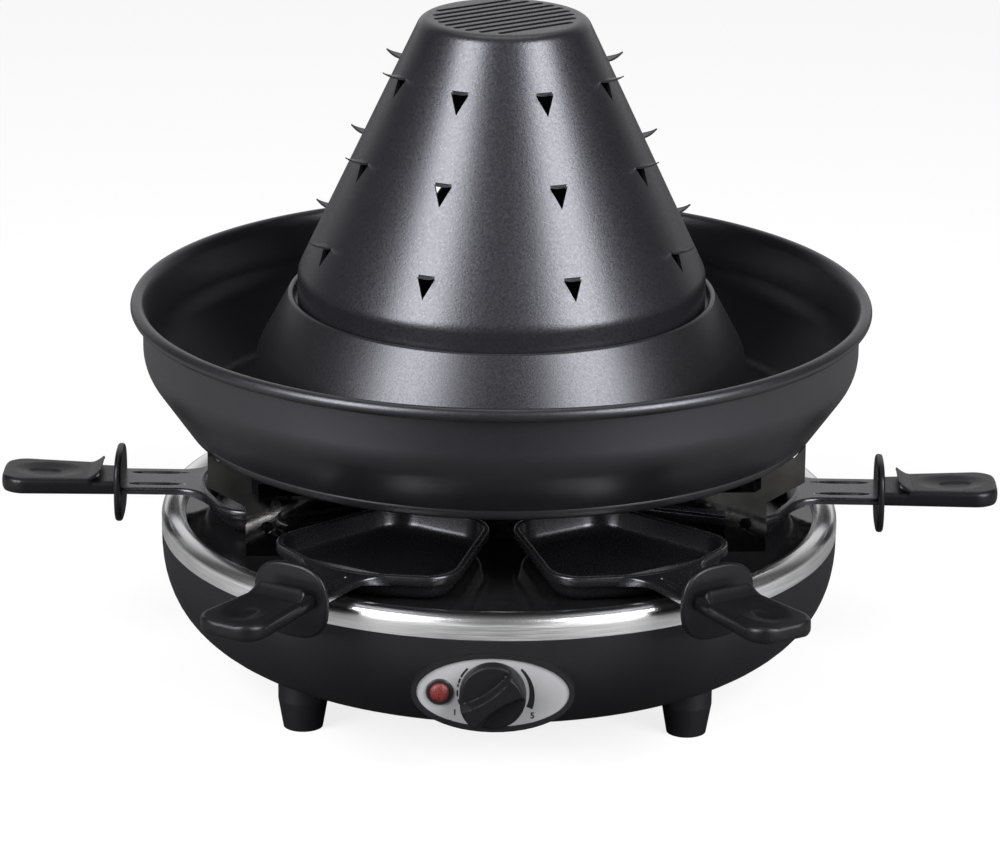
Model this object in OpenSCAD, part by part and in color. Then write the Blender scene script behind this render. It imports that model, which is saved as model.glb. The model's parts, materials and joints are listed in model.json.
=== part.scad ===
// Round table raclette with six pans, a broth moat and a cone with bent hooks.
// Millimetres, +Z up, origin on the table under the centre. The controls face -Y.

/* [Feet and housing] */
// Length of a foot below its boss
foot_h = 14.5; // [12:0.5:24]
// Distance of each foot's axis inside the housing's largest radius
foot_inset = 36; // [33:0.5:40]
// Radius of a foot at the floor
foot_r = 9.5; // [8:0.5:12]
// Radius of a foot where it meets the housing
foot_top_r = 12; // [11:0.5:14]
// Largest radius of the housing, also of the steel ring
housing_r = 166; // [164:1:172]
// Height of the bowl from its lowest point to the ring's seat
bowl_h = 58.5; // [54:0.5:66]
// Horizontal run of the bowl's curve
bowl_run = 68; // [64:1:72]
// Fullness of the bowl's curve, 2 for an ellipse
bowl_power = 2.5; // [2:0.1:3]
// Height of the foot bosses' flat ends above the bowl's lowest point
boss_rise = 0.5; // [0.2:0.1:0.8]
// Wall of the housing
housing_wall = 2.8; // [2.2:0.1:3.4]
// Flat margin of the bowl round the bottom cover
cover_margin = 2; // [1.5:0.5:4]
// Thickness of the bottom cover
cover_t = 2; // [1.5:0.1:3]

/* [Control panel] */
// Width of the black oval boss
boss_w = 76; // [74:1:84]
// Height of the black oval boss
boss_h = 39; // [38:0.5:42]
// Height of the panel's centre below the ring's seat
panel_drop = 25.5; // [24:0.5:28]
// How far the boss's face stands in front of the ring
boss_proud = 0.5; // [0.2:0.1:4]
// Width of the rim round the silver plate
panel_rim = 2.4; // [1.5:0.1:3]
// Depth of the rim in front of the silver plate
rim_depth = 0.8; // [0.4:0.1:1.6]
// Thickness of the silver plate
panel_t = 1; // [0.6:0.1:1.6]
// Distance of the lens from the knob
lens_x = 24.7; // [24:0.1:26]
// Radius of the red lens
lens_r = 4.7; // [4.4:0.1:5.6]
// Radius of the knob
knob_r = 15.5; // [13:0.5:16]
// Height of the knob's disc
knob_disc_h = 7; // [6:0.5:9]
// Height of the knob's wavy grip above its disc
grip_h = 8; // [5:0.5:11]
// Radius of the thermostat's shaft
shaft_r = 3; // [2.5:0.1:3.4]

/* [Ring and tray] */
// Height of the steel ring
ring_h = 12; // [11:0.5:13]
// Radial width of the steel ring
ring_w = 12; // [11:0.5:13]
// Sheet of the steel ring
ring_sheet = 1; // [0.8:0.1:1.2]
// Height of the tray's underside above the ring's seat
collar_h = 5.5; // [5:0.1:5.8]
// Sheet of the tray
tray_sheet = 1; // [0.8:0.1:1.2]

/* [Uprights and heater] */
// Height of the uprights' shelf above the tray
shelf_h = 29; // [28.6:0.2:33.6]
// Distance of the upright plates from the centre, along Y
upright_y = 65; // [64:0.5:67]
// Inner edge of an upright's leg, from the centre
leg_in = 105; // [104:0.5:108]
// Outer edge of an upright's leg, from the centre
leg_out = 125; // [122:0.5:127]
// Outer edge of an upright's finger, from the centre
finger_out = 143; // [138:0.5:145]
// Turn of the four uprights about the axis
upright_turn = 4; // [0:0.5:5]
// Sheet of the uprights
upright_sheet = 1.2; // [1:0.1:1.6]
// Radius of the heater's ring, at the middle of its tube
heater_r = 88; // [85:0.5:89]
// Radius of the heater's tube
tube_r = 3.5; // [3:0.1:4]
// Distance of each cold leg from the middle
cold_x = 9; // [8.6:0.1:11]
// Distance of the cold legs inside the housing's largest radius
cold_inset = 38; // [35:0.5:40]

/* [Pans] */
// Height of a pan from its bottom to its rim
pan_h = 13.6; // [12.4:0.2:14.6]
// Sheet of a pan
pan_sheet = 1.2; // [1:0.1:1.6]
// Radial position of a pan's front tip
pan_tip = 148; // [146:0.5:149]
// Half width of a pan over its rim
pan_half_w = 49; // [47:0.5:49.5]
// Radial position of a pan's inner end
pan_inner = 50; // [48:0.5:52]
// Height of the turned-down rim
rim_h = 4.6; // [3.5:0.1:6]
// Width of the rim
rim_w = 3.2; // [2.8:0.1:4]
// Width of the tang
tang_w = 31; // [28:0.5:32]
// Thickness of the tang
tang_t = 1.4; // [1.2:0.1:1.6]
// Length of a handle from its guard to its end
handle_l = 56; // [50:1:64]
// Width of a handle near its end
handle_w = 34; // [31:0.5:37]
// Width of a handle at its guard
neck_w = 27; // [25:0.5:29]
// Thickness of a handle
handle_t = 8; // [7.6:0.2:10]
// Upward slope of a handle
handle_slope = 1; // [0:0.5:4.5]
// Radial position of the guard
guard_x = 185; // [184:0.5:190]
// Thickness of the guard
guard_t = 3.4; // [2.6:0.2:4.2]
// Width of the guard
guard_w = 40; // [38:0.5:44]
// Height of the guard
guard_h = 36; // [34:0.5:40]

/* [Moat] */
// Outer radius of the moat's rolled lip
lip_r = 180; // [178:0.5:186]
// Height of the moat from its foot ring to its lip
moat_h = 67; // [66:0.5:72]
// Height of the moat's foot ring above the uprights' shelf
moat_rise = 14; // [13.5:0.5:16]
// Wall of the moat
moat_wall = 2; // [1.6:0.1:2.4]
// Radius of the collar that the hat stands in
collar_r = 104; // [103:0.5:106]

/* [Hat] */
// Height of the hat
hat_h = 140.7; // [130:0.1:150]
// Radius of the hat at its base
hat_r = 99; // [98:0.5:99.5]
// Radius of the hat at the shoulder, before it is rounded
hat_top_r = 40; // [36:0.5:44]
// Wall of the hat
hat_wall = 1.6; // [1.2:0.1:2]
// Height of the upright skirt
skirt_h = 15; // [10:0.5:18]
// Hooks in one row
hooks_per_row = 8; // [6:1:9]
// Rows of hooks
hook_rows = 3; // [1:1:3]
// Height of the lowest row's upper edge above the hat's base
hook_z = 34.7; // [32:0.5:36]
// Vertical distance between rows
hook_pitch = 40; // [36:0.5:41]
// Width of a punched triangle
hook_w = 9; // [7:0.5:11]
// Length of a punched triangle, also of its bent tab
hook_l = 10.5; // [9:0.5:12]
// Grooves pressed in the hat's top
top_grooves = 9; // [4:1:10]

/* [Fits] */
// Gap between pieces that rest on each other but part in use
seat_gap = 0.3; // [0.2:0.05:0.5]
// Radial gap of a turning shaft
run_gap = 0.05; // [0.03:0.01:0.09]
// Gap of pieces that are put together once
fit_gap = 0.15; // [0.1:0.05:0.3]

/* [Hidden] */
pan_count = 6;
$fn = 64;
eps = 0.01;

// Levels, from the table up
bowl_z = foot_h - boss_rise;
seat_z = bowl_z + bowl_h;
tray_z = seat_z + collar_h + tray_sheet;
ring_top = seat_z + ring_h;
pan_z = tray_z + seat_gap;
pan_top = pan_z + pan_h;
shelf_z = tray_z + shelf_h;
heater_z = shelf_z + upright_sheet + fit_gap + tube_r;
moat_z = shelf_z + moat_rise;
lip_z = moat_z + moat_h;
ledge_z = lip_z - 2;
hat_z = ledge_z + seat_gap;

// Housing
collar_out = housing_r - ring_sheet - fit_gap;
collar_in = housing_r - ring_w - 4;
cover_r = housing_r - bowl_run - cover_margin;
cover_lip = 10;
cover_lip_t = 2.5;
panel_z = seat_z - panel_drop;
panel_y = housing_r + boss_proud;
plate_y = panel_y - rim_depth;
boss_wall = 2.5;
boss_back = plate_y - panel_t - boss_wall;
boss_room = 40;
pillar_r = 5;
screw_r = 1.75;
screw_head_r = 3.6;
screw_head_h = 2;
pilot_depth = 12;
cover_screw_r = cover_r - 5;
foot_places = [[-1, -1], [1, -1], [1, 1], [-1, 1]];
foot_xy = (housing_r - foot_inset) / sqrt(2);
foot_boss_h = 16;

// Cord inlet at the back
gland_x = 45;
gland_z = seat_z - 29;
gland_bore = 3.6;
gland_r = 6;
gland_flange_r = 9;
gland_flange_t = 3;
gland_boss_r = 11;
gland_l = 16;
gland_inset = 5.5;
gland_face = housing_r - gland_inset;

// Thermostat and lamp
bush_r = 5;
bush_proud = 3;
nut_flats = 13;
nut_t = 2.4;
lens_ring_r = lens_r + 1.8;
lens_ring_t = 1.2;
knob_gap = 0.6;
knob_back = plate_y + knob_gap;
knob_pocket_r = 8.6;
knob_pocket_h = 3.6;
shaft_in_knob = 7;
body_w = 24;
body_h = 22;
body_d = 16;
grip_angle = 35;
pointer_angle = 222;

// Uprights
finger_in = leg_out - 3;
arm_end = heater_r * cos(45) - 6;
arm_w = 18;
web_h = 8;
flange_w = 12;
upright_screw_x = (leg_in + leg_out) / 2;
upright_screw_y = upright_y - 7;
upright_places = [[1, -1], [1, 1], [-1, 1], [-1, -1]];

// Heater
bend_r = 10;
cold_y = housing_r - cold_inset;
cold_turn = asin((bend_r + cold_x) / (heater_r + bend_r));
cold_bottom = seat_z - 14;
heater_bush_r = 6;
clip_t = 1;
clip_w = 8;

// Moat, as radius and height
ledge_in = 92;
wall_bend_r = collar_r + 15;
wall_foot_r = collar_r + 17;
moat_floor = moat_z + 7;
foot_ring_in = 125;
foot_ring_out = 134.5;
foot_ring_h = 4.5;
moat_side_r = lip_r - 6;
moat_side_z = lip_z - 31;
moat_side_bend = 25;
moat_foot_bend = 5;
lip_bead = 3.2;
lip_bead_turn = [150, -140];
cone_low_r = moat_side_r - 22;
cone_low_z = moat_z + foot_ring_h;

// Hat
hat_flat_r = hat_top_r - 3;
hat_slope = atan2(hat_r - hat_top_r, hat_h - skirt_h);
groove_w = 3.4;
groove_pitch = 6.6;
groove_depth = 0.7;
groove_turn = 35;

// Pan plan: corners as radial place, sideways place and radius
inner_rad = 20;
inner_half = 13;
outer_rad = 18;
outer_back = 28;
tip_rad = 58;
well_lean = 6.5;
pan_corners = [
  [pan_inner + inner_rad, -inner_half, inner_rad],
  [pan_tip - outer_back, -(pan_half_w - outer_rad), outer_rad],
  [pan_tip - tip_rad, 0, tip_rad],
  [pan_tip - outer_back, pan_half_w - outer_rad, outer_rad],
  [pan_inner + inner_rad, inner_half, inner_rad]];
well_top = inset(pan_corners, rim_w);
well_floor = inset(well_top, well_lean);
arc_steps = 7;
// Turn of each pan on the tray away from its even place
pan_shift = [0, 0, 0, 0, 0, 3.5];

// Tang and handle
tang_drop = 0.4;
tang_z = pan_top - tang_drop - tang_t;
tang_edge_t = 1.2;
tang_edge_h = 2.4;
flare_r = 18;
flare_x = pan_tip + 9.5;
flare_half = tang_w / 2 + 10.5;
tang_end = guard_x + 28;
tail_w = 18;
tang_mid = tang_z + tang_t / 2;
groove_run = [pan_tip + 4, guard_x - 3];
rib_w = 3;
rib_y = tang_w / 2 - 7;
rib_h = 0.6;
handle_tip_r = 11;
handle_edge_r = 3.4;
guard_drop = 1.5;
rivet_r = 2;
rivet_head_r = 3.4;
rivet_head_t = 1.4;
rivet_grip = 1.8;
rivet_over = 1.2;
rivet_room = 0.2;
rivet_places = [guard_x + 10, guard_x + 22];
dish_l = 34;
dish_w = 21;
dish_depth = 2.2;
oval_l = 17;
oval_w = 8;
oval_depth = 0.5;
neck_l = 12;
neck_drop = 1.2;
neck_edge_r = 2;
lip_run = 6;
lip_sink = 0.6;
lip_in_r = 2.3;
lip_t = 1.6;
lip_corner_r = 4;

// Circles of a plan outline, each smaller by d
function inset(corners, d) = [for (c = corners) [c[0], c[1], c[2] - d]];
// Direction that faces out of the straight edge from circle a to circle b
function edge_dir(a, b) =
  atan2(b[1] - a[1], b[0] - a[0]) - acos((a[2] - b[2]) / norm([b[0] - a[0], b[1] - a[1]]));
// Turn brought to the range from 0 to 360
function turn(a) = a - 360 * floor(a / 360);
// Points round circles that are joined by straight edges, anticlockwise
function outline(corners) = let (n = len(corners)) [
  for (i = [0 : n - 1])
    let (
      c = corners[i],
      start = edge_dir(corners[(i + n - 1) % n], c),
      sweep = turn(edge_dir(c, corners[(i + 1) % n]) - start))
    for (k = [0 : arc_steps])
      [c[0] + c[2] * cos(start + sweep * k / arc_steps), c[1] + c[2] * sin(start + sweep * k / arc_steps)]];
// Corner lists between a and b
function mix(a, b, f) = [for (i = [0 : len(a) - 1]) a[i] * (1 - f) + b[i] * f];
// Points of an arc, ends included
function arc(cx, cy, r, a0, a1, n = 6) =
  [for (i = [0 : n]) [cx + r * cos(a0 + (a1 - a0) * i / n), cy + r * sin(a0 + (a1 - a0) * i / n)]];
// Points of an ellipse
function oval(w, h, n = 48) = [for (i = [0 : n - 1]) [w / 2 * cos(360 * i / n), h / 2 * sin(360 * i / n)]];
// Unit vector from p to q
function way(p, q) = (q - p) / norm(q - p);
// Normal on the left of a direction
function left(d) = [-d[1], d[0]];
// Path moved sideways by t, its corners mitred
function beside(p, t) = let (n = len(p)) [
  for (i = [0 : n - 1])
    let (
      a = left(way(p[max(i - 1, 0)], p[max(i, 1)])),
      b = left(way(p[min(i, n - 2)], p[min(i + 1, n - 1)])))
    p[i] + (a + b) * t / (1 + a * b)];
// Closed outline of a sheet along a path, with its thickness to the left
function sheet(p, t) = let (q = beside(p, t), n = len(p)) concat(p, [for (i = [n - 1 : -1 : 0]) q[i]]);
// Path with its corner b rounded at radius r
function rounded(a, b, c, r, n = 5) =
  let (
    u = way(b, a),
    v = way(b, c),
    half = acos(u * v) / 2,
    p = b + u * r / tan(half),
    m = b + (u + v) / norm(u + v) * r / sin(half),
    q = b + v * r / tan(half),
    a0 = atan2(p[1] - m[1], p[0] - m[0]),
    step = atan2(q[1] - m[1], q[0] - m[0]) - a0,
    sweep = step > 180 ? step - 360 : step < -180 ? step + 360 : step)
  arc(m[0], m[1], r, a0, a0 + sweep, n);
// Height of the moat's underside at a radius
function cone_z(r) =
  cone_low_z + max(0, r - cone_low_r) * (moat_side_z - cone_low_z) / (moat_side_r - cone_low_r);
// Solid through a row of closed loops with equal numbers of points
module loft(loops) {
  n = len(loops[0]);
  m = len(loops);
  sides = [
    for (j = [0 : m - 2])
      for (i = [0 : n - 1])
        for (f = [
          [j * n + i, (j + 1) * n + i, (j + 1) * n + (i + 1) % n],
          [j * n + i, (j + 1) * n + (i + 1) % n, j * n + (i + 1) % n]]) f];
  ends = [[for (i = [0 : n - 1]) i], [for (i = [n - 1 : -1 : 0]) (m - 1) * n + i]];
  polyhedron([for (l = loops) for (p = l) p], concat(sides, ends));
}
// Plan outline lifted to a height
function level(corners, z) = [for (p = outline(corners)) [p[0], p[1], z]];
// Turns a piece drawn along +Z to face the front, on the panel
module on_panel(x = 0) translate([x, 0, panel_z]) rotate([90, 0, 0]) children();
// Places a child at each foot
module at_feet() for (p = foot_places) translate([p[0] * foot_xy, p[1] * foot_xy, 0]) children();
// Places a child in the frame of one of the four uprights
module at_upright(i)
  rotate([0, 0, upright_turn])
    mirror([upright_places[i][0] < 0 ? 1 : 0, 0, 0])
      mirror([0, upright_places[i][1] > 0 ? 1 : 0, 0])
        children();
// Places a child at each screw of the bottom cover
module at_cover_screws() for (a = [0 : 90 : 270])
  rotate([0, 0, a]) translate([cover_screw_r, 0, 0]) children();
// Screw with its head below z = 0 and its shank above
module screw(l) {
  cylinder(h = l, r = screw_r);
  translate([0, 0, -screw_head_h]) cylinder(h = screw_head_h, r = screw_head_r);
}

// Moulded bowl
module bowl_skin(t) {
  steps = 20;
  curve = [for (i = [0 : steps]) let (a = 90 * i / steps)
    [housing_r - bowl_run + (bowl_run - t) * pow(sin(a), 2 / bowl_power),
      seat_z - (bowl_h - t) * pow(cos(a), 2 / bowl_power)]];
  polygon(concat(curve, [[0, seat_z], [0, curve[0][1]]]));
}
module bowl_solid() rotate_extrude($fn = 128) bowl_skin(0);
module bowl_room() rotate_extrude($fn = 128) bowl_skin(housing_wall);
module housing() color("#1c1c1e") difference() {
  union() {
    difference() {
      bowl_solid();
      bowl_room();
      translate([0, 0, bowl_z - 1]) cylinder(h = housing_wall + cover_t + 2, r = cover_r + fit_gap);
    }
    translate([0, 0, bowl_z + cover_t]) difference() {
      cylinder(h = cover_lip_t, r = cover_r + housing_wall);
      translate([0, 0, -1]) cylinder(h = cover_lip_t + 2, r = cover_r - cover_lip);
    }
    difference() {
      translate([0, 0, seat_z - 4]) cylinder(h = collar_h + 4, r = collar_out);
      translate([0, 0, seat_z - 5]) cylinder(h = collar_h + 6, r = collar_in);
    }
    difference() {
      on_panel() linear_extrude(height = panel_y) polygon(oval(boss_w, boss_h));
      bowl_room();
      translate([0, 0, panel_z]) cube([boss_w * 2, housing_r, boss_h * 2], center = true);
    }
    intersection() {
      bowl_solid();
      union() {
        at_feet() translate([0, 0, bowl_z]) cylinder(h = foot_boss_h + boss_rise, r = foot_top_r);
        for (i = [0 : 3]) at_upright(i) translate([upright_screw_x, -upright_screw_y, bowl_z])
          cylinder(h = bowl_h + collar_h, r = pillar_r);
        at_cover_screws() translate([0, 0, bowl_z + cover_t]) cylinder(h = pilot_depth, r = pillar_r);
      }
    }
    for (i = [0 : 3]) at_upright(i) translate([upright_screw_x, -upright_screw_y, seat_z - 6])
      cylinder(h = 6 + collar_h, r = pillar_r);
    at_feet() translate([0, 0, foot_h]) cylinder(h = foot_boss_h, r = foot_top_r);
    difference() {
      translate([gland_x, housing_r / 2, gland_z]) rotate([-90, 0, 0])
        cylinder(h = gland_face - housing_r / 2, r = gland_boss_r);
      translate([gland_x, 0, gland_z]) rotate([-90, 0, 0])
        cylinder(h = gland_face - gland_l, r = gland_boss_r + 1);
    }
  }
  on_panel() translate([0, 0, plate_y - panel_t]) linear_extrude(height = panel_t + rim_depth + 1)
    polygon(oval(boss_w - 2 * panel_rim, boss_h - 2 * panel_rim));
  on_panel() translate([0, 0, boss_back - boss_room]) linear_extrude(height = boss_room)
    polygon(oval(boss_w - 2 * boss_wall - 2, boss_h - 2 * boss_wall - 2));
  on_panel() cylinder(h = panel_y, r = bush_r + fit_gap);
  on_panel(-lens_x) cylinder(h = panel_y, r = lens_r + fit_gap);
  at_feet() cylinder(h = foot_h + pilot_depth, r = screw_r + run_gap);
  for (i = [0 : 3]) at_upright(i) translate([upright_screw_x, -upright_screw_y, tray_z - pilot_depth])
    cylinder(h = pilot_depth, r = screw_r + run_gap);
  at_cover_screws() translate([0, 0, bowl_z]) cylinder(h = pilot_depth, r = screw_r + run_gap);
  translate([gland_x, 0, gland_z]) rotate([-90, 0, 0]) cylinder(h = housing_r, r = gland_r + fit_gap);
}

// Bottom cover with rings of slots
module base_plate() color("#232325") translate([0, 0, bowl_z]) difference() {
  cylinder(h = cover_t, r = cover_r);
  at_cover_screws() translate([0, 0, -1]) cylinder(h = cover_t + 2, r = screw_r + fit_gap);
  for (a = [15 : 30 : 345]) rotate([0, 0, a]) translate([40, -2.5, -1]) cube([30, 5, cover_t + 2]);
}
module base_screws() color("#77777a") translate([0, 0, bowl_z])
  at_cover_screws() screw(pilot_depth - 2);

// Tapered foot with a deep hole for its screw
foot_hole_r = screw_head_r + 0.6;
foot_hole_h = 8;
module foot(i) color("#151516") translate(foot_xy * [foot_places[i][0], foot_places[i][1], 0]) difference() {
  cylinder(h = foot_h, r1 = foot_r, r2 = foot_top_r);
  translate([0, 0, -1]) cylinder(h = foot_hole_h + 1, r = foot_hole_r);
  cylinder(h = foot_h + 1, r = screw_r + fit_gap);
}
module foot_screws() color("#77777a") at_feet() translate([0, 0, foot_hole_h])
  screw(foot_h - foot_hole_h + pilot_depth - 2);

// Steel ring folded over the tray's edge
module ring_arch(inset, low) {
  mid = housing_r - ring_w / 2;
  half = ring_w / 2 - inset;
  top = ring_top - ring_w / 2;
  translate([mid, top]) circle(r = half);
  translate([mid - half, low]) square([2 * half, top - low]);
}
module rim_ring() color("#c4c4c6") rotate_extrude($fn = 160) difference() {
  ring_arch(0, seat_z);
  ring_arch(ring_sheet, seat_z - 1);
  translate([housing_r - ring_w - 1, seat_z - 1]) square([ring_sheet + 1.5, 1 + tray_z - seat_z + seat_gap]);
}

// Enamelled tray with an upturned edge inside the ring
tray_edge_r = housing_r - ring_w + ring_sheet + 2.6;
tray_edge_h = 2.1;
tray_bend = 1.6;
module pan_tray() color("#0d0d0e") difference() {
  rotate_extrude($fn = 160) polygon(sheet(concat(
    [[0, tray_z - tray_sheet]],
    rounded([0, tray_z - tray_sheet], [tray_edge_r, tray_z - tray_sheet],
      [tray_edge_r, tray_z + tray_edge_h], tray_bend),
    [[tray_edge_r, tray_z + tray_edge_h]]), tray_sheet));
  for (i = [0 : 3]) at_upright(i) translate([upright_screw_x, -upright_screw_y, tray_z - 2])
    cylinder(h = 4, r = screw_r + fit_gap);
  for (s = [-1, 1]) translate([s * cold_x, cold_y, tray_z - 3]) cylinder(h = 6, r = heater_bush_r - 1);
}

// Silver oval plate
module control_panel() color("#b9babd") on_panel() translate([0, 0, plate_y - panel_t]) difference() {
  linear_extrude(height = panel_t)
    polygon(oval(boss_w - 2 * panel_rim - 2 * fit_gap, boss_h - 2 * panel_rim - 2 * fit_gap));
  translate([0, 0, -1]) cylinder(h = panel_t + 2, r = bush_r + fit_gap);
  translate([-lens_x, 0, -1]) cylinder(h = panel_t + 2, r = lens_r + fit_gap);
}
// Red lens with a shallow dome and a skirt that reaches through the panel
lens_dome = 2.2;
module indicator_lens() color("#a01c18") on_panel(-lens_x) translate([0, 0, boss_back])
  rotate_extrude() polygon(concat(
  [[0, 2], [lens_r - 1.4, 2], [lens_r - 1.4, 0], [lens_r, 0]],
  [[lens_r, panel_t + boss_wall + lens_ring_t]],
  [for (i = [1 : 6]) [lens_r * cos(15 * i), panel_t + boss_wall + lens_ring_t + lens_dome * sin(15 * i)]]));
// Dark ring round the lens
module lens_ring() color("#18181a") on_panel(-lens_x) translate([0, 0, plate_y]) difference() {
  cylinder(h = lens_ring_t, r1 = lens_ring_r, r2 = lens_ring_r - 0.5);
  translate([0, 0, -1]) cylinder(h = lens_ring_t + 2, r = lens_r + fit_gap);
}
// Lamp behind the lens, on its holder
lamp_r = 2.8;
lamp_l = 14;
module indicator_lamp() color("#d8a070") on_panel(-lens_x) {
  translate([0, 0, boss_back + 2 - lamp_l]) cylinder(h = lamp_l, r = lamp_r);
  translate([0, 0, boss_back - 4]) cylinder(h = 4, r = lens_r);
}

// Thermostat with its threaded bush, and the nut that clamps it
module thermostat() color("#8d8a80") on_panel() difference() {
  union() {
    translate([-body_w / 2, -body_h / 2, boss_back - body_d]) cube([body_w, body_h, body_d]);
    cylinder(h = plate_y + bush_proud, r = bush_r);
  }
  translate([0, 0, -1]) cylinder(h = boss_back - body_d + 1, r = bush_r + 1);
  translate([0, 0, boss_back - body_d + 4]) cylinder(h = panel_y, r = shaft_r + run_gap);
}
module thermostat_nut() color("#a8a8aa") on_panel() translate([0, 0, plate_y]) difference() {
  cylinder(h = nut_t, r = nut_flats / 2 / cos(30), $fn = 6);
  translate([0, 0, -1]) cylinder(h = nut_t + 2, r = bush_r + fit_gap);
}
module thermostat_shaft() color("#9a9a9c") on_panel()
  translate([0, 0, boss_back - body_d + 4 + seat_gap])
    cylinder(h = knob_back + shaft_in_knob - boss_back + body_d - 4 - seat_gap, r = shaft_r);

// Knob: rounded disc, S-shaped grip and a small pointer at its edge
grip_half = 3.3;
grip_wave = 3.4;
function grip_side(s) = [for (i = [-12 : 12]) let (x = (knob_r + 1) * i / 12)
  [x, grip_wave * sin(180 * x / knob_r) + s * grip_half]];
module knob_cap(r, h, edge) rotate_extrude() polygon(concat(
  [[0, 0], [r, 0]], arc(r - edge, h - edge, edge, 0, 90), [[0, h]]));
module control_knob() color("#161617") on_panel() translate([0, 0, knob_back]) difference() {
  union() {
    knob_cap(knob_r, knob_disc_h, 1.6);
    intersection() {
      knob_cap(knob_r - 0.6, knob_disc_h + grip_h, 3);
      rotate([0, 0, grip_angle]) linear_extrude(height = knob_disc_h + grip_h)
        polygon(concat(grip_side(-1), [for (i = [24 : -1 : 0]) grip_side(1)[i]]));
    }
    rotate([0, 0, pointer_angle]) translate([knob_r - 2, -1.2, 1]) cube([3.2, 2.4, knob_disc_h - 3]);
  }
  translate([0, 0, -1]) cylinder(h = knob_pocket_h + 1, r = knob_pocket_r);
  translate([0, 0, -1]) cylinder(h = shaft_in_knob + 1, r = shaft_r + run_gap);
}

// Heater: one tube with a ring, a bend outward and a bend down at each end
tube_sides = 12;
ring_steps = 48;
bend_steps = 5;
// Stations along the tube at its right end: place, sideways direction, upward direction
cold_leg = concat(
  [for (k = [1 : bend_steps]) let (a = 270 - cold_turn - (90 - cold_turn) * k / bend_steps)
    [[bend_r * cos(a), bend_r * sin(a), 0]
      + (heater_r + bend_r) * [sin(cold_turn), cos(cold_turn), 0], -[cos(a), sin(a), 0], [0, 0, 1]]],
  [for (k = [0 : bend_steps]) let (a = 90 * k / bend_steps)
    [[cold_x, cold_y - bend_r + bend_r * sin(a), bend_r * (cos(a) - 1)], [1, 0, 0], [0, sin(a), cos(a)]]],
  [[[cold_x, cold_y, cold_bottom - heater_z], [1, 0, 0], [0, 1, 0]]]);
function flipped(v) = [-v[0], v[1], v[2]];
heater_ring = [for (k = [0 : ring_steps])
  let (a = 90 + cold_turn + (360 - 2 * cold_turn) * k / ring_steps, out = [cos(a), sin(a), 0])
    [heater_r * out, out, [0, 0, 1]]];
heater_way = concat(
  [for (k = [len(cold_leg) - 1 : -1 : 0]) [for (v = cold_leg[k]) flipped(v)]],
  heater_ring,
  cold_leg);
module heater() color("#5a4a44") translate([0, 0, heater_z]) loft([for (s = heater_way)
  [for (k = [0 : tube_sides - 1]) let (a = 360 * k / tube_sides)
    s[0] + tube_r * (cos(a) * s[1] + sin(a) * s[2])]]);
module heater_bushes() color("#d9d5cc") for (s = [-1, 1])
  translate([s * cold_x, cold_y, tray_z]) difference() {
  union() {
    cylinder(h = 4, r = heater_bush_r);
    translate([0, 0, -5]) cylinder(h = 6, r = heater_bush_r - 1 - fit_gap);
  }
  translate([0, 0, -6]) cylinder(h = 12, r = tube_r + run_gap);
}
// Saddle over the heater's tube on each upright's arm
clip_angle = asin((upright_y - arm_w / 2) / heater_r);
module heater_clip() rotate([0, 0, -clip_angle]) translate([heater_r, 0, 0]) rotate([90, 0, 0])
  translate([0, 0, -clip_w / 2]) linear_extrude(height = clip_w) difference() {
    union() {
      translate([0, heater_z]) circle(r = tube_r + fit_gap + clip_t);
      translate([-tube_r - 5, shelf_z + upright_sheet]) square([2 * tube_r + 10, clip_t]);
    }
    translate([0, heater_z]) circle(r = tube_r + fit_gap);
    translate([-tube_r - fit_gap, shelf_z]) square([2 * tube_r + 2 * fit_gap, heater_z - shelf_z]);
    translate([-20, shelf_z - 20 + upright_sheet]) square([40, 20]);
  }
module heater_clips() color("#9c9c9e") for (i = [0 : 3]) at_upright(i) heater_clip();

// Upright: one folded sheet with a leg, a foot, an arm under the heater and a finger under the moat
module upright(i) color("#b4b4b6") at_upright(i) {
  inner_y = upright_y - upright_sheet;
  finger_xs = [for (k = [0 : 4]) finger_out + (finger_in - finger_out) * k / 4];
  translate([0, -inner_y, 0]) rotate([90, 0, 0]) linear_extrude(height = upright_sheet) difference() {
    polygon(concat(
      [[leg_in, tray_z], [leg_out, tray_z], [leg_out, shelf_z - 4], [finger_out, shelf_z + 6]],
      [for (x = finger_xs) [x, cone_z(norm([x, inner_y])) - seat_gap]],
      [[finger_in, shelf_z + 3], [finger_in - 3, shelf_z + upright_sheet]],
      [[arm_end, shelf_z + upright_sheet], [arm_end, shelf_z - 2], [leg_in, shelf_z - web_h]]));
    translate([upright_screw_x, (tray_z + shelf_z) / 2]) circle(r = 3);
  }
  difference() {
    translate([leg_in, -upright_y, tray_z]) cube([leg_out - leg_in, flange_w, upright_sheet]);
    translate([upright_screw_x, -upright_screw_y, tray_z - 1]) cylinder(h = 4, r = screw_r + fit_gap);
  }
  translate([arm_end, -upright_y, shelf_z]) cube([finger_in - 3 - arm_end, arm_w, upright_sheet]);
}
module upright_screws() color("#77777a") for (i = [0 : 3]) at_upright(i)
  translate([upright_screw_x, -upright_screw_y, tray_z + upright_sheet]) mirror([0, 0, 1])
    screw(pilot_depth - 1);

// Block where the mains lead and the inner leads meet, on the bottom cover
block_size = [34, 18, 14];
module terminal_block() color("#e4e0d4") translate([10, 40, bowl_z + cover_t]) difference() {
  cube(block_size);
  for (k = [0 : 2]) translate([7 + 10 * k, -1, 8]) rotate([-90, 0, 0]) cylinder(h = 20, r = 2);
  for (k = [0 : 2]) for (y = [5, 13]) translate([7 + 10 * k, y, 11]) cylinder(h = 4, r = 1.8);
}
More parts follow.
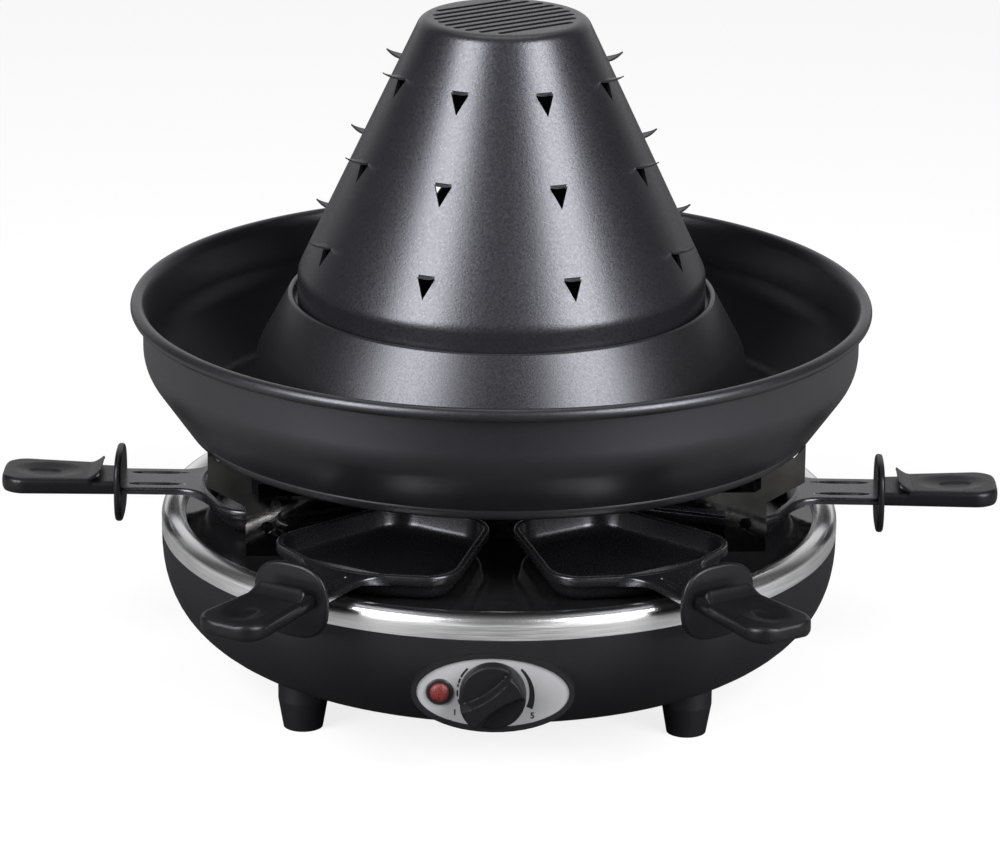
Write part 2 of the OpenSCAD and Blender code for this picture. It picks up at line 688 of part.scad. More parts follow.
// Inlet bush for a mains lead
module cord_gland() color("#121213") translate([gland_x, gland_face - gland_l, gland_z]) rotate([-90, 0, 0])
  difference() {
    union() {
      cylinder(h = gland_l, r = gland_r);
      translate([0, 0, gland_l]) cylinder(h = gland_flange_t, r1 = gland_flange_r, r2 = gland_flange_r - 1.5);
    }
    translate([0, 0, -1]) cylinder(h = gland_l + gland_flange_t + 2, r = gland_bore);
  }

// Moat: ring-shaped bowl with a collar for the hat and a rolled lip
module moat() color("#2c2c30") rotate_extrude($fn = 180) {
  cone_run = (moat_side_r - cone_low_r) / (moat_side_z - cone_low_z);
  cone_wall_x = moat_wall * norm([cone_run, 1]);
  floor_out = cone_low_r + (moat_floor - cone_low_z) * cone_run - cone_wall_x;
  side_in = [moat_side_r - moat_wall, moat_side_z + (cone_wall_x - moat_wall) / cone_run];
  wall_x = moat_wall * 1.15;
  crest = 1.6;
  section = concat(
    [[ledge_in, ledge_z - moat_wall], [ledge_in, ledge_z], [collar_r - 2 * crest, ledge_z]],
    arc(collar_r - crest, lip_z + 1, crest, 180, 20),
    [[wall_bend_r, lip_z - 26]],
    rounded([wall_bend_r, lip_z - 26], [wall_foot_r, moat_floor], [floor_out, moat_floor], 6),
    rounded([wall_foot_r, moat_floor], [floor_out, moat_floor], side_in, 8),
    rounded([floor_out, moat_floor], side_in, [moat_side_r - moat_wall, lip_z - 6],
      moat_side_bend - moat_wall),
    [[moat_side_r - moat_wall, lip_z - 6]],
    arc(lip_r - lip_bead, lip_z - lip_bead, lip_bead, lip_bead_turn[0], lip_bead_turn[1], 14),
    [[moat_side_r, lip_z - 8]],
    rounded([moat_side_r, lip_z - 8], [moat_side_r, moat_side_z], [cone_low_r, cone_low_z], moat_side_bend),
    rounded([moat_side_r, moat_side_z], [cone_low_r, cone_low_z], [foot_ring_out, cone_low_z],
      moat_foot_bend),
    [[foot_ring_out, cone_low_z], [foot_ring_out, moat_z], [foot_ring_in, moat_z]],
    [[foot_ring_in, cone_low_z], [wall_foot_r - wall_x, cone_low_z]],
    [[wall_bend_r - wall_x, lip_z - 26], [collar_r - wall_x + 0.5, ledge_z - moat_wall]]);
  polygon(section);
}

// Hat: cone with rows of punched triangles whose tabs are bent out as hooks
hat_mid = [hat_r, hat_z + skirt_h];
hat_shoulder = [hat_top_r, hat_z + hat_h];
function hat_side_r(h) = hat_r - (h - skirt_h) * tan(hat_slope);
module at_hooks() for (row = [0 : hook_rows - 1]) for (k = [0 : hooks_per_row - 1])
  rotate([0, 0, 90 + (k + 0.5) * 360 / hooks_per_row])
    translate([hat_side_r(hook_z + row * hook_pitch), 0, hat_z + hook_z + row * hook_pitch])
      rotate([90 - hat_slope, 0, 90]) children();
hook_sheet = 1.1;
hook_root = 0.3;
hook_depth = hat_wall / 2;
hook_curl = 15;
hook_droop = 28;
hook_lift = 12;
hook_tip = 0.7;
module hook_tab() intersection() {
  start = [0, hook_root];
  centre = start + hook_curl * [sin(hook_droop), cos(hook_droop)];
  rotate([0, -90, 0]) linear_extrude(height = hook_w, center = true) polygon(sheet(concat(
    [[-hook_depth, hook_root + hook_depth * tan(hook_droop)]],
    arc(centre[0], centre[1], hook_curl, -90 - hook_droop, -90 + hook_lift, 5)), hook_sheet));
  rotate([90, 0, 0]) linear_extrude(height = 40, center = true)
    polygon([[-hook_w / 2, -hat_wall], [hook_w / 2, -hat_wall], [hook_tip, hook_l], [-hook_tip, hook_l]]);
}
module hat() color("#2a2a2e") difference() {
  union() {
    difference() {
      rotate_extrude($fn = 180) polygon(sheet(concat(
        [[hat_r, hat_z]],
        rounded([hat_r, hat_z], hat_mid, hat_shoulder, 12),
        rounded(hat_mid, hat_shoulder, [0, hat_z + hat_h], 6),
        [[0, hat_z + hat_h]]), hat_wall));
      at_hooks() linear_extrude(height = 8, center = true)
        polygon([[-hook_w / 2, 0], [hook_w / 2, 0], [0, -hook_l]]);
    }
    at_hooks() hook_tab();
  }
  rotate([0, 0, groove_turn]) for (k = [0 : top_grooves - 1])
    let (y = (k - (top_grooves - 1) / 2) * groove_pitch)
      if (abs(y) < hat_flat_r - groove_w)
        translate([0, y, hat_z + hat_h - groove_depth]) linear_extrude(height = 2)
          square([2 * sqrt(pow(hat_flat_r - 4, 2) - pow(y, 2)), groove_w], center = true);
}

// Pan: drawn well with a turned-down rim and a ribbed tang
pan_bottom_bend = 6;
module pan_well() {
  floor_in = pan_z + pan_sheet;
  bend = pan_bottom_bend;
  loft(concat(
    [for (a = [0 : 22.5 : 90])
      level(inset(mix(well_floor, well_top, (1 - cos(a)) * 0.14), -bend * sin(a) * 0.9),
        pan_z + bend * (1 - cos(a)))],
    [level(inset(well_top, -pan_sheet), pan_top - rim_h)],
    [level(pan_corners, pan_top - rim_h)],
    [level(pan_corners, pan_top - 1.2)],
    [level(inset(pan_corners, 0.35), pan_top - 0.35)],
    [level(inset(pan_corners, 1.2), pan_top)],
    [level(inset(pan_corners, rim_w - 1), pan_top)],
    [level(inset(pan_corners, rim_w - 0.1), pan_top - 0.9)],
    [for (a = [90 : -22.5 : 0])
      level(inset(mix(well_floor, well_top, (1 - cos(a)) * 0.14), -(bend - pan_sheet) * sin(a) * 0.9),
        floor_in + (bend - pan_sheet) * (1 - cos(a)))]));
}
module tang_plan() difference() {
  union() {
    translate([pan_tip - 30, -tang_w / 2]) square([guard_x - fit_gap - pan_tip + 30, tang_w]);
    translate([pan_tip, -tail_w / 2]) square([tang_end - pan_tip, tail_w]);
    difference() {
      translate([pan_tip - 30, -flare_half]) square([flare_x - pan_tip + 30, 2 * flare_half]);
      for (s = [-1, 1]) translate([flare_x, s * (tang_w / 2 + flare_r)]) circle(r = flare_r);
    }
  }
  polygon(outline(inset(pan_corners, rim_w / 2)));
}
// Turned-down edges of the tang, in plan
module tang_edges() difference() {
  for (s = [0, 1]) mirror([0, s]) {
    translate([flare_x, tang_w / 2 - tang_edge_t]) square([guard_x - fit_gap - flare_x, tang_edge_t]);
    intersection() {
      translate([flare_x, tang_w / 2 + flare_r]) difference() {
        circle(r = flare_r + tang_edge_t);
        circle(r = flare_r);
      }
      translate([pan_tip - 30, 0]) square([flare_x - pan_tip + 30, flare_half]);
    }
  }
  polygon(outline(inset(pan_corners, rim_w / 2)));
}
module at_pan(i) rotate([0, 0, i * 360 / pan_count + pan_shift[i]]) children();
module pan(i) color("#1b1b1d") at_pan(i) difference() {
  union() {
    pan_well();
    translate([0, 0, tang_z]) linear_extrude(height = tang_t) tang_plan();
    translate([0, 0, tang_z - tang_edge_h]) linear_extrude(height = tang_edge_h + eps) tang_edges();
    for (s = [-1, 1]) translate([groove_run[0], s * rib_y - rib_w / 2, tang_z - rib_h])
      cube([groove_run[1] - groove_run[0], rib_w, rib_h + eps]);
  }
  for (s = [-1, 1]) translate([groove_run[0], s * rib_y - rib_w / 2, tang_z + tang_t - rib_h])
    cube([groove_run[1] - groove_run[0], rib_w, rib_h + 1]);
  for (x = rivet_places) translate([x, 0, tang_z - 1]) cylinder(h = tang_t + 2, r = rivet_r + run_gap);
}

// Moulded handle: tapered grip with a thumb dish, a curled lip behind it and an oval guard
grip_l = handle_l + guard_t;
grip_corners = [
  [neck_edge_r, -neck_w / 2 + neck_edge_r, neck_edge_r],
  [grip_l - handle_tip_r, -handle_w / 2 + handle_tip_r, handle_tip_r],
  [grip_l - handle_tip_r, handle_w / 2 - handle_tip_r, handle_tip_r],
  [neck_edge_r, neck_w / 2 - neck_edge_r, neck_edge_r]];
module grip_section() {
  e = handle_edge_r;
  square([handle_w - 2 * e, handle_t], center = true);
  square([handle_w, handle_t - 2 * e], center = true);
  for (a = [-1, 1]) for (b = [-1, 1])
    translate([a * (handle_w / 2 - e), b * (handle_t / 2 - e)]) circle(r = e);
}
module thumb_dish() translate([guard_t + handle_l * 0.6, 0, handle_t / 2]) {
  wide_r = (pow(dish_w / 2, 2) / dish_depth + dish_depth) / 2;
  long_r = (pow(dish_l / 2, 2) / dish_depth + dish_depth) / 2;
  translate([0, 0, wide_r - dish_depth]) rotate([0, 90, 0]) rotate_extrude($fn = 48) intersection() {
    translate([wide_r - long_r, 0]) circle(r = long_r, $fn = 96);
    translate([0, -dish_l]) square([wide_r + 1, 2 * dish_l]);
  }
  translate([0, 0, -dish_depth - oval_depth]) linear_extrude(height = dish_depth + 1)
    polygon(oval(oval_l, oval_w));
}
// Lip that curls up where the dish meets the neck
module thumb_lip() intersection() {
  translate([guard_t + neck_l, 0, handle_t / 2 - lip_sink]) rotate([90, 0, 0])
    linear_extrude(height = handle_w, center = true)
      polygon(sheet(concat([[lip_run, 0]], arc(0, lip_in_r, lip_in_r, 270, 140, 6)), lip_t));
  rotate([90, 0, 90]) linear_extrude(height = grip_l) polygon(concat(
    [[-neck_w / 2, 0], [neck_w / 2, 0]],
    arc(neck_w / 2 - lip_corner_r, handle_t / 2, lip_corner_r, 0, 90),
    arc(-neck_w / 2 + lip_corner_r, handle_t / 2, lip_corner_r, 90, 180)));
}
module handle(i) color("#131314") at_pan(i) difference() {
  union() {
    translate([guard_x, 0, tang_mid]) rotate([0, -handle_slope, 0]) {
      difference() {
        intersection() {
          translate([0, 0, -handle_t]) linear_extrude(height = 2 * handle_t) polygon(outline(grip_corners));
          rotate([90, 0, 90]) linear_extrude(height = grip_l + 1) grip_section();
        }
        thumb_dish();
        translate([-1, -handle_w, handle_t / 2 - neck_drop]) cube([guard_t + neck_l + 1, 2 * handle_w, handle_t]);
      }
      thumb_lip();
    }
    translate([guard_x, 0, tang_mid - guard_drop]) rotate([90, 0, 90]) linear_extrude(height = guard_t)
      polygon(oval(guard_w, guard_h));
  }
  translate([guard_x - 1, -tail_w / 2 - fit_gap, tang_z - fit_gap])
    cube([tang_end + fit_gap - guard_x + 1, tail_w + 2 * fit_gap, tang_t + 2 * fit_gap]);
  for (x = rivet_places) {
    translate([x, 0, tang_z - handle_t])
      cylinder(h = handle_t + tang_t + rivet_over + rivet_room, r = rivet_r + run_gap);
    translate([x, 0, tang_z - handle_t]) cylinder(h = handle_t - rivet_grip, r = rivet_head_r + fit_gap);
  }
}
module rivets(i) color("#8a8a8c") at_pan(i) for (x = rivet_places)
  translate([x, 0, tang_z - rivet_grip]) {
  cylinder(h = rivet_grip + tang_t + rivet_over, r = rivet_r);
  translate([0, 0, -rivet_head_t]) cylinder(h = rivet_head_t, r1 = rivet_head_r - 0.6, r2 = rivet_head_r);
}

housing();
base_plate();
base_screws();
for (i = [0 : 3]) foot(i);
foot_screws();
rim_ring();
pan_tray();
control_panel();
indicator_lens();
lens_ring();
indicator_lamp();
thermostat();
thermostat_nut();
thermostat_shaft();
control_knob();
heater();
heater_bushes();
heater_clips();
for (i = [0 : 3]) upright(i);
upright_screws();
terminal_block();
cord_gland();
moat();
hat();
for (i = [0 : pan_count - 1]) pan(i);
for (i = [0 : pan_count - 1]) handle(i);
for (i = [0 : pan_count - 1]) rivets(i);
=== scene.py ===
import json
from math import acos, asin, atan2, copysign, cos, degrees, hypot, pi, radians, sin, sqrt, tan

import bmesh
import bpy
from mathutils import Matrix, Vector

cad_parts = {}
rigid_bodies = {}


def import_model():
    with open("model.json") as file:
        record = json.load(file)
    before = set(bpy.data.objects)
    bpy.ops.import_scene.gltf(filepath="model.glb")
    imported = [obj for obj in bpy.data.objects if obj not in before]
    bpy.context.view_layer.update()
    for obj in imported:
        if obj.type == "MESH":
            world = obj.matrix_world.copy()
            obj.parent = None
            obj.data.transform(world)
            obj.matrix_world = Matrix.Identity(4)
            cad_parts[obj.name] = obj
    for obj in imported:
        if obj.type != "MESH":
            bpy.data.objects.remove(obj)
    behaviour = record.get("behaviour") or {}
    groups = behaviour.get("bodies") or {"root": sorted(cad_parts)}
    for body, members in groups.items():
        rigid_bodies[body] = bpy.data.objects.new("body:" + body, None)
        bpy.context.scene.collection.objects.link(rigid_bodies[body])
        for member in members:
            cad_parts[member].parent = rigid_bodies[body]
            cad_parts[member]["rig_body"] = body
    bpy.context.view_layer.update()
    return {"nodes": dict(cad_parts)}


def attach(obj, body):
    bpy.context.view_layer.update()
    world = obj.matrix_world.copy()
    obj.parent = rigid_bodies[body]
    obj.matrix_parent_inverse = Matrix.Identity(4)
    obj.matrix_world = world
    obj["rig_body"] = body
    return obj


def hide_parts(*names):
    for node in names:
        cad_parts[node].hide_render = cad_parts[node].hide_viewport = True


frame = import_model()

# Housing: one deep bowl moulded in black heat-resistant plastic with a fine eroded grain.
# The oval control boss, the foot bosses and the cord entry are moulded in one piece with it.
MM = 0.001
HOUSING_DARK = (0.0030, 0.0030, 0.0037, 1)
HOUSING_LIGHT = (0.0055, 0.0055, 0.0066, 1)
GLOSS_TINT = (0.90, 0.90, 1.0, 1)


def filled(tree, node, **inputs):
    """Node whose inputs are set to numbers or wired to sockets."""
    for label, value in inputs.items():
        socket = node.inputs[label.replace("_", " ")]
        if isinstance(value, bpy.types.NodeSocket):
            tree.links.new(value, socket)
        else:
            socket.default_value = value
    return node


def wired(tree, kind, **inputs):
    """New node of a tree, with its inputs filled."""
    return filled(tree, tree.nodes.new(kind), **inputs)


def group_of(name, inputs, outputs):
    """Empty shader node group with named numbers; gives the group and its sockets to draw from and to fill."""
    group = bpy.data.node_groups.new(name, "ShaderNodeTree")
    for label, value in inputs.items():
        socket = group.interface.new_socket(label, in_out="INPUT", socket_type="NodeSocketFloat")
        socket.default_value = value
    for label in outputs:
        group.interface.new_socket(label, in_out="OUTPUT", socket_type="NodeSocketFloat")
    return group, group.nodes.new("NodeGroupInput").outputs, group.nodes.new("NodeGroupOutput").inputs


def noise_in(tree, vector, scale, detail=2.0, rough=0.5):
    """Noise on a vector socket; scale is a number or a socket."""
    return wired(tree, "ShaderNodeTexNoise", Vector=vector, Scale=scale, Detail=detail,
                 Roughness=rough).outputs["Fac"]


def remap(tree, value, low, high, from_low=0.3, from_high=0.7):
    """Value spread over a new range."""
    return wired(tree, "ShaderNodeMapRange", Value=value, From_Min=from_low, From_Max=from_high,
                 To_Min=low, To_Max=high).outputs["Result"]


def tinted(tree, value, dark, light):
    """Colour between two tones, by a value."""
    ramp = tree.nodes.new("ShaderNodeValToRGB")
    ramp.color_ramp.elements[0].color = dark
    ramp.color_ramp.elements[0].position = 0.3
    ramp.color_ramp.elements[1].color = light
    ramp.color_ramp.elements[1].position = 0.7
    tree.links.new(value, ramp.inputs["Fac"])
    return ramp.outputs["Color"]


def bumped(tree, height, strength, distance):
    """Normal from a height."""
    return wired(tree, "ShaderNodeBump", Height=height, Strength=strength, Distance=distance).outputs["Normal"]


def piece_place(tree):
    """Coordinates that stay with the piece."""
    return tree.nodes.new("ShaderNodeTexCoord").outputs["Object"]


def parts_of(tree, vector):
    """X, Y and Z of a vector."""
    return wired(tree, "ShaderNodeSeparateXYZ", Vector=vector).outputs


def vector_of(tree, **axes):
    """Vector from its X, Y and Z."""
    return wired(tree, "ShaderNodeCombineXYZ", **axes).outputs["Vector"]


def blank_material(name):
    """New material with its tree and its surface shader."""
    material = bpy.data.materials.new(name)
    material.use_nodes = True
    return material, material.node_tree, material.node_tree.nodes["Principled BSDF"]


def placed(tree, group, **values):
    """Node group put in a material, with its own values."""
    node = tree.nodes.new("ShaderNodeGroup")
    node.node_tree = group
    return filled(tree, node, **values).outputs


moulded_grain, grain_in, grain_out = group_of(
    "moulded_grain", {"Grain scale": 1500.0, "Cloud scale": 22.0}, ["Height", "Tone", "Shine"])
grain_place = piece_place(moulded_grain)
for label, scale, detail, rough in (("Height", "Grain scale", 3.0, 0.6), ("Tone", "Cloud scale", 4.0, 0.5),
                                    ("Shine", "Grain scale", 1.0, 0.5)):
    grain_noise = noise_in(moulded_grain, grain_place, grain_in[scale], detail, rough)
    moulded_grain.links.new(grain_noise, grain_out[label])


def surface(name, group, dark, light, rough, relief, metal=0.0, gloss=0.5, tint=(1, 1, 1, 1), **scales):
    """Material whose tone, shine and fine relief come from a node group."""
    material, tree, shader = blank_material(name)
    skin = placed(tree, group, **scales)
    filled(tree, shader, Base_Color=tinted(tree, skin["Tone"], dark, light), Metallic=metal,
           Roughness=remap(tree, skin["Shine"], *rough), Specular_IOR_Level=gloss, Specular_Tint=tint)
    if relief:
        filled(tree, shader, Normal=bumped(tree, skin["Height"], *relief))
    return material


def moulded_plastic(name, dark, light, rough, grain=1500.0, depth=0.00006, gloss=0.5):
    """Moulded plastic with an eroded grain and a cool gloss."""
    return surface(name, moulded_grain, dark, light, (rough - 0.06, rough + 0.08), (0.5, depth),
                   gloss=gloss, tint=GLOSS_TINT, Grain_scale=grain)


def in_scene(name, data):
    """Object of the scene."""
    piece = bpy.data.objects.new(name, data)
    bpy.context.scene.collection.objects.link(piece)
    return piece


def plain_mesh(name, points, faces=(), edges=()):
    """Mesh from points in millimetres."""
    mesh = bpy.data.meshes.new(name)
    mesh.from_pydata([(x * MM, y * MM, z * MM) for x, y, z in points], edges, faces)
    return mesh


def welded(mesh):
    """Mesh with its doubled points joined and its faces turned outward."""
    work = bmesh.new()
    work.from_mesh(mesh)
    bmesh.ops.remove_doubles(work, verts=work.verts, dist=2e-7)
    bmesh.ops.dissolve_degenerate(work, edges=work.edges, dist=1e-8)
    bmesh.ops.recalc_face_normals(work, faces=work.faces)
    work.to_mesh(mesh)
    work.free()
    return mesh


def shown(name, mesh, material, sharp=38):
    """Mesh as an object of the scene, smooth but for its sharp edges."""
    mesh.materials.clear()
    mesh.materials.append(material)
    mesh.polygons.foreach_set("use_smooth", [True] * len(mesh.polygons))
    mesh.set_sharp_from_angle(angle=radians(sharp))
    return in_scene(name, mesh)


def mesh_piece(name, verts, faces, material, sharp=38):
    """Welded object from points in millimetres."""
    return shown(name, welded(plain_mesh(name, verts, faces)), material, sharp)


def stands_for(piece, slot, *nodes):
    """Piece rides with the solids it stands for, which are hidden."""
    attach(piece, frame["nodes"][nodes[0]]["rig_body"])
    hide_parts(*nodes)


def refined(node, material, slot, sharp=32):
    """Welded copy of a solid's mesh, with smooth curves."""
    source = frame["nodes"][node].data
    verts = [tuple(v.co / MM) for v in source.vertices]
    piece = mesh_piece(node + "_finish", verts, [tuple(p.vertices) for p in source.polygons], material, sharp)
    stands_for(piece, slot, node)
    return piece


def dressed(material, *nodes):
    """Material on solids whose shape is right as it is."""
    for node in nodes:
        data = frame["nodes"][node].data
        data.materials.clear()
        data.materials.append(material)


housing_plastic = moulded_plastic("housing_plastic", HOUSING_DARK, HOUSING_LIGHT, 0.5)
refined("housing", housing_plastic, "housing_black")

# Bottom cover: a painted steel disc with vent slots, held by screws from below.
# The paint is satin and a little uneven, as on any pressed cover.
cover_paint = moulded_plastic(
    "cover_paint", (0.016, 0.016, 0.017, 1), (0.026, 0.026, 0.028, 1), 0.42, 700.0, 0.00004)
dressed(cover_paint, "base_plate")

# Feet: tapered plastic feet, each pulled to its boss by a long screw from below.
# They have the housing's colour with a slightly coarser grain.
foot_plastic = moulded_plastic(
    "foot_plastic", (0.0036, 0.0036, 0.0042, 1), (0.0062, 0.0062, 0.0070, 1), 0.48, 1300.0)
for number in range(1, 5):
    refined(f"foot_{number}", foot_plastic, "foot_black")

# Screws: zinc-plated pan-head screws with a cross recess, in the feet, the cover and the uprights.
# One head is repeated at every place; shanks stay hidden in their bosses.
SCREW_HEAD_R, SCREW_HEAD_H, SCREW_CROSS = 3.6, 2.0, 0.9
FOOT_XY, FOOT_HOLE = 91.92, 8.0
COVER_Z, COVER_SCREW_R = 14.0, 91.0
TRAY_Z, UPRIGHT_SHEET, UPRIGHT_TURN = 79.0, 1.2, 4.0
UPRIGHT_SCREW = (115.0, 58.0)


def node_tree(name, inputs):
    """Geometry node tree with named inputs; gives the tree, its inputs and what it puts out."""
    tree = bpy.data.node_groups.new(name, "GeometryNodeTree")
    tree.interface.new_socket("Geometry", in_out="INPUT", socket_type="NodeSocketGeometry")
    for label, (kind, value) in inputs.items():
        socket = tree.interface.new_socket(label, in_out="INPUT", socket_type="NodeSocket" + kind)
        if value is not None:
            socket.default_value = value
    tree.interface.new_socket("Geometry", in_out="OUTPUT", socket_type="NodeSocketGeometry")
    return tree, tree.nodes.new("NodeGroupInput").outputs, tree.nodes.new("NodeGroupOutput").inputs


def counted(tree, operation, first, second=0.5):
    """Sum or other operation on two values."""
    node = tree.nodes.new("ShaderNodeMath")
    node.operation = operation
    for socket, value in zip(node.inputs, (first, second)):
        if isinstance(value, bpy.types.NodeSocket):
            tree.links.new(value, socket)
        else:
            socket.default_value = value
    return node.outputs["Value"]


def moved(tree, geometry, **change):
    """Geometry moved, turned or scaled."""
    return wired(tree, "GeometryNodeTransform", Geometry=geometry, **change).outputs["Geometry"]


def repeated(tree, points, shape, **turn):
    """Shape set at every point."""
    node = wired(tree, "GeometryNodeInstanceOnPoints", Points=points, Instance=shape, **turn)
    return node.outputs["Instances"]


def gathered(tree, kind, label, *shapes):
    """Node that takes several shapes in one socket."""
    node = tree.nodes.new(kind)
    for shape in shapes:
        tree.links.new(shape, node.inputs[label])
    return node


def cut(tree, solid, *tools):
    """Boolean that takes the tools out of a solid."""
    node = gathered(tree, "GeometryNodeMeshBoolean", "Mesh 2", *tools)
    node.operation = "DIFFERENCE"
    return filled(tree, node, Mesh_1=solid)


def closed_tree(tree, out, geometry, material_socket):
    """Ends a tree in real geometry with its material."""
    real = wired(tree, "GeometryNodeRealizeInstances", Geometry=geometry)
    paint = wired(tree, "GeometryNodeSetMaterial", Geometry=real.outputs["Geometry"], Material=material_socket)
    tree.links.new(paint.outputs["Geometry"], out["Geometry"])


def made_plain(piece):
    """Plain mesh of an object as it is shown; the object itself goes."""
    bpy.context.view_layer.update()
    mesh = bpy.data.meshes.new_from_object(piece.evaluated_get(bpy.context.evaluated_depsgraph_get()))
    bpy.data.objects.remove(piece)
    return mesh


def grown(name, start, tree, values, material, sharp=38):
    """Plain mesh object that a tree makes from a starting mesh."""
    seed = in_scene(name + "_seed", start)
    modifier = seed.modifiers.new("make", "NODES")
    modifier.node_group = tree
    for item in tree.interface.items_tree:
        if item.in_out == "INPUT" and item.name in values:
            modifier[item.identifier] = values[item.name]
    mesh = made_plain(seed)
    mesh.name = name
    return shown(name, mesh, material, sharp)


screw_tree, screw_in, screw_out = node_tree("cross_head_screw", {
    "Head radius": ("Float", SCREW_HEAD_R * MM),
    "Head height": ("Float", SCREW_HEAD_H * MM),
    "Cross width": ("Float", SCREW_CROSS * MM),
    "Tilt": ("Float", 0.0),
    "Finish": ("Material", None)})
head_top = counted(screw_tree, "MULTIPLY", screw_in["Head radius"], 0.72)
head = wired(screw_tree, "GeometryNodeMeshCone", Vertices=28, Radius_Top=head_top,
             Radius_Bottom=screw_in["Head radius"], Depth=screw_in["Head height"])
cross_long = counted(screw_tree, "MULTIPLY", screw_in["Head radius"], 1.1)
bar_size = vector_of(screw_tree, X=cross_long, Y=screw_in["Cross width"], Z=screw_in["Head height"])
bar = wired(screw_tree, "GeometryNodeMeshCube", Size=bar_size)
bar_up = moved(screw_tree, bar.outputs["Mesh"], Translation=vector_of(screw_tree, Z=screw_in["Head height"]))
bar_turned = moved(screw_tree, bar_up, Rotation=(0, 0, pi / 2))
recess = cut(screw_tree, head.outputs["Mesh"], bar_up, bar_turned)
screw_all = repeated(screw_tree, screw_in["Geometry"], recess.outputs["Mesh"],
                     Rotation=vector_of(screw_tree, X=screw_in["Tilt"]))
closed_tree(screw_tree, screw_out, screw_all, screw_in["Finish"])

brushed_lines, brush_in, brush_out = group_of(
    "brushed_lines", {"Across": 900.0, "Along": 14.0, "Height scale": 900.0}, ["Height", "Tone", "Shine"])
brush_place = piece_place(brushed_lines)
brush_split = parts_of(brushed_lines, brush_place)
brush_turn = counted(brushed_lines, "ARCTAN2", brush_split["Y"], brush_split["X"])
brush_round = wired(brushed_lines, "ShaderNodeVectorMath", Vector=brush_place)
brush_round.operation = "LENGTH"
brush_vector = vector_of(
    brushed_lines, X=counted(brushed_lines, "MULTIPLY", brush_turn, brush_in["Along"]),
    Y=counted(brushed_lines, "MULTIPLY", brush_split["Z"], brush_in["Height scale"]),
    Z=counted(brushed_lines, "MULTIPLY", brush_round.outputs["Value"], brush_in["Across"]))
for label, scale, detail in (("Height", 1.0, 3.0), ("Tone", 0.35, 2.0), ("Shine", 0.8, 2.0)):
    brushed_lines.links.new(noise_in(brushed_lines, brush_vector, scale, detail), brush_out[label])


def brushed_metal(name, dark, light, rough, depth):
    """Metal with fine lines that run round the appliance."""
    return surface(name, brushed_lines, dark, light, rough, (0.35, depth), metal=1.0)


screw_zinc = brushed_metal("screw_zinc", (0.36, 0.36, 0.37, 1), (0.52, 0.52, 0.53, 1), (0.28, 0.44), 0.00002)


def screw_set(node, points, tilt):
    """Screws of one group, seen by their heads."""
    heads = grown(node + "_heads", plain_mesh(node, points), screw_tree, {"Tilt": tilt, "Finish": screw_zinc},
                  screw_zinc)
    stands_for(heads, "screw_steel", node)


SIDES = ((-1, -1), (1, -1), (1, 1), (-1, 1))
screw_set("foot_screws", [(x * FOOT_XY, y * FOOT_XY, FOOT_HOLE) for x, y in SIDES], pi)
screw_set("base_screws", [(COVER_SCREW_R * x, COVER_SCREW_R * y, COVER_Z)
                          for x, y in ((1, 0), (0, 1), (-1, 0), (0, -1))], pi)
turn = Matrix.Rotation(radians(UPRIGHT_TURN), 3, "Z")
upright_spots = [(x * UPRIGHT_SCREW[0], y * UPRIGHT_SCREW[1], TRAY_Z + UPRIGHT_SHEET) for x, y in SIDES]
screw_set("upright_screws", [tuple(turn @ Vector(spot)) for spot in upright_spots], 0.0)

# Steel ring: stainless strip rolled to a channel over the tray's edge, with a round crown.
# The outer face keeps its brushed lines; the crown and the inside are polished.
RING_R, RING_W, RING_LOW, RING_TOP, RING_SHEET = 166.0, 12.0, 72.5, 84.5, 1.0
RING_INNER_LOW, RING_STRAIGHT = 79.3, 3.0
CROWN_FROM, CROWN_TO = 1.0, 2.6


def polar(r, a):
    """Place at a radius and an angle in radians."""
    return r * cos(a), r * sin(a)


def turned(x, y, a):
    """Place turned round the origin by an angle in radians."""
    return x * cos(a) - y * sin(a), x * sin(a) + y * cos(a)


def arc(cx, cy, r, start, end, steps=8):
    """Points of an arc between angles in degrees, ends included."""
    spots = [polar(r, radians(start + (end - start) * k / steps)) for k in range(steps + 1)]
    return [(cx + x, cy + y) for x, y in spots]


def lathe(section, steps):
    """Points and faces of a closed section turned round the axis."""
    count = len(section)
    verts = [(*polar(r, 2 * pi * k / steps), z) for k in range(steps) for r, z in section]
    faces = [(k * count + i, ((k + 1) % steps) * count + i, ((k + 1) % steps) * count + (i + 1) % count,
              k * count + (i + 1) % count) for k in range(steps) for i in range(count)]
    return verts, faces


ring_mid = RING_R - RING_W / 2
ring_crown = RING_TOP - RING_W / 2
ring_edge = degrees(asin((RING_INNER_LOW - ring_crown) / (RING_W / 2)))
ring_section = (
    [(RING_R - 0.25, RING_LOW), (RING_R, RING_LOW + 0.3), (RING_R, RING_LOW + RING_STRAIGHT)]
    + arc(ring_mid, ring_crown, RING_W / 2, 0, 180 - ring_edge, 24)
    + arc(ring_mid, ring_crown, RING_W / 2 - RING_SHEET, 180 - ring_edge, 0, 20)
    + [(RING_R - RING_SHEET, RING_LOW)])
ring_steel, tree, shader = blank_material("ring_steel")
lines = placed(tree, brushed_lines, Across=700.0, Along=10.0, Height_scale=1700.0)
crown_mask = remap(tree, parts_of(tree, piece_place(tree))["Z"], 0.0, 1.0,
                   (ring_crown + CROWN_FROM) * MM, (ring_crown + CROWN_TO) * MM)
polish = wired(tree, "ShaderNodeMix", Factor=crown_mask, A=remap(tree, lines["Shine"], 0.34, 0.5), B=0.25)
line_depth = wired(tree, "ShaderNodeMix", Factor=crown_mask, A=lines["Height"], B=0.5)
filled(tree, shader, Metallic=1.0, Roughness=polish.outputs["Result"],
       Base_Color=tinted(tree, lines["Tone"], (0.80, 0.80, 0.81, 1), (0.94, 0.94, 0.95, 1)),
       Normal=bumped(tree, line_depth.outputs["Result"], 0.4, 0.00003))
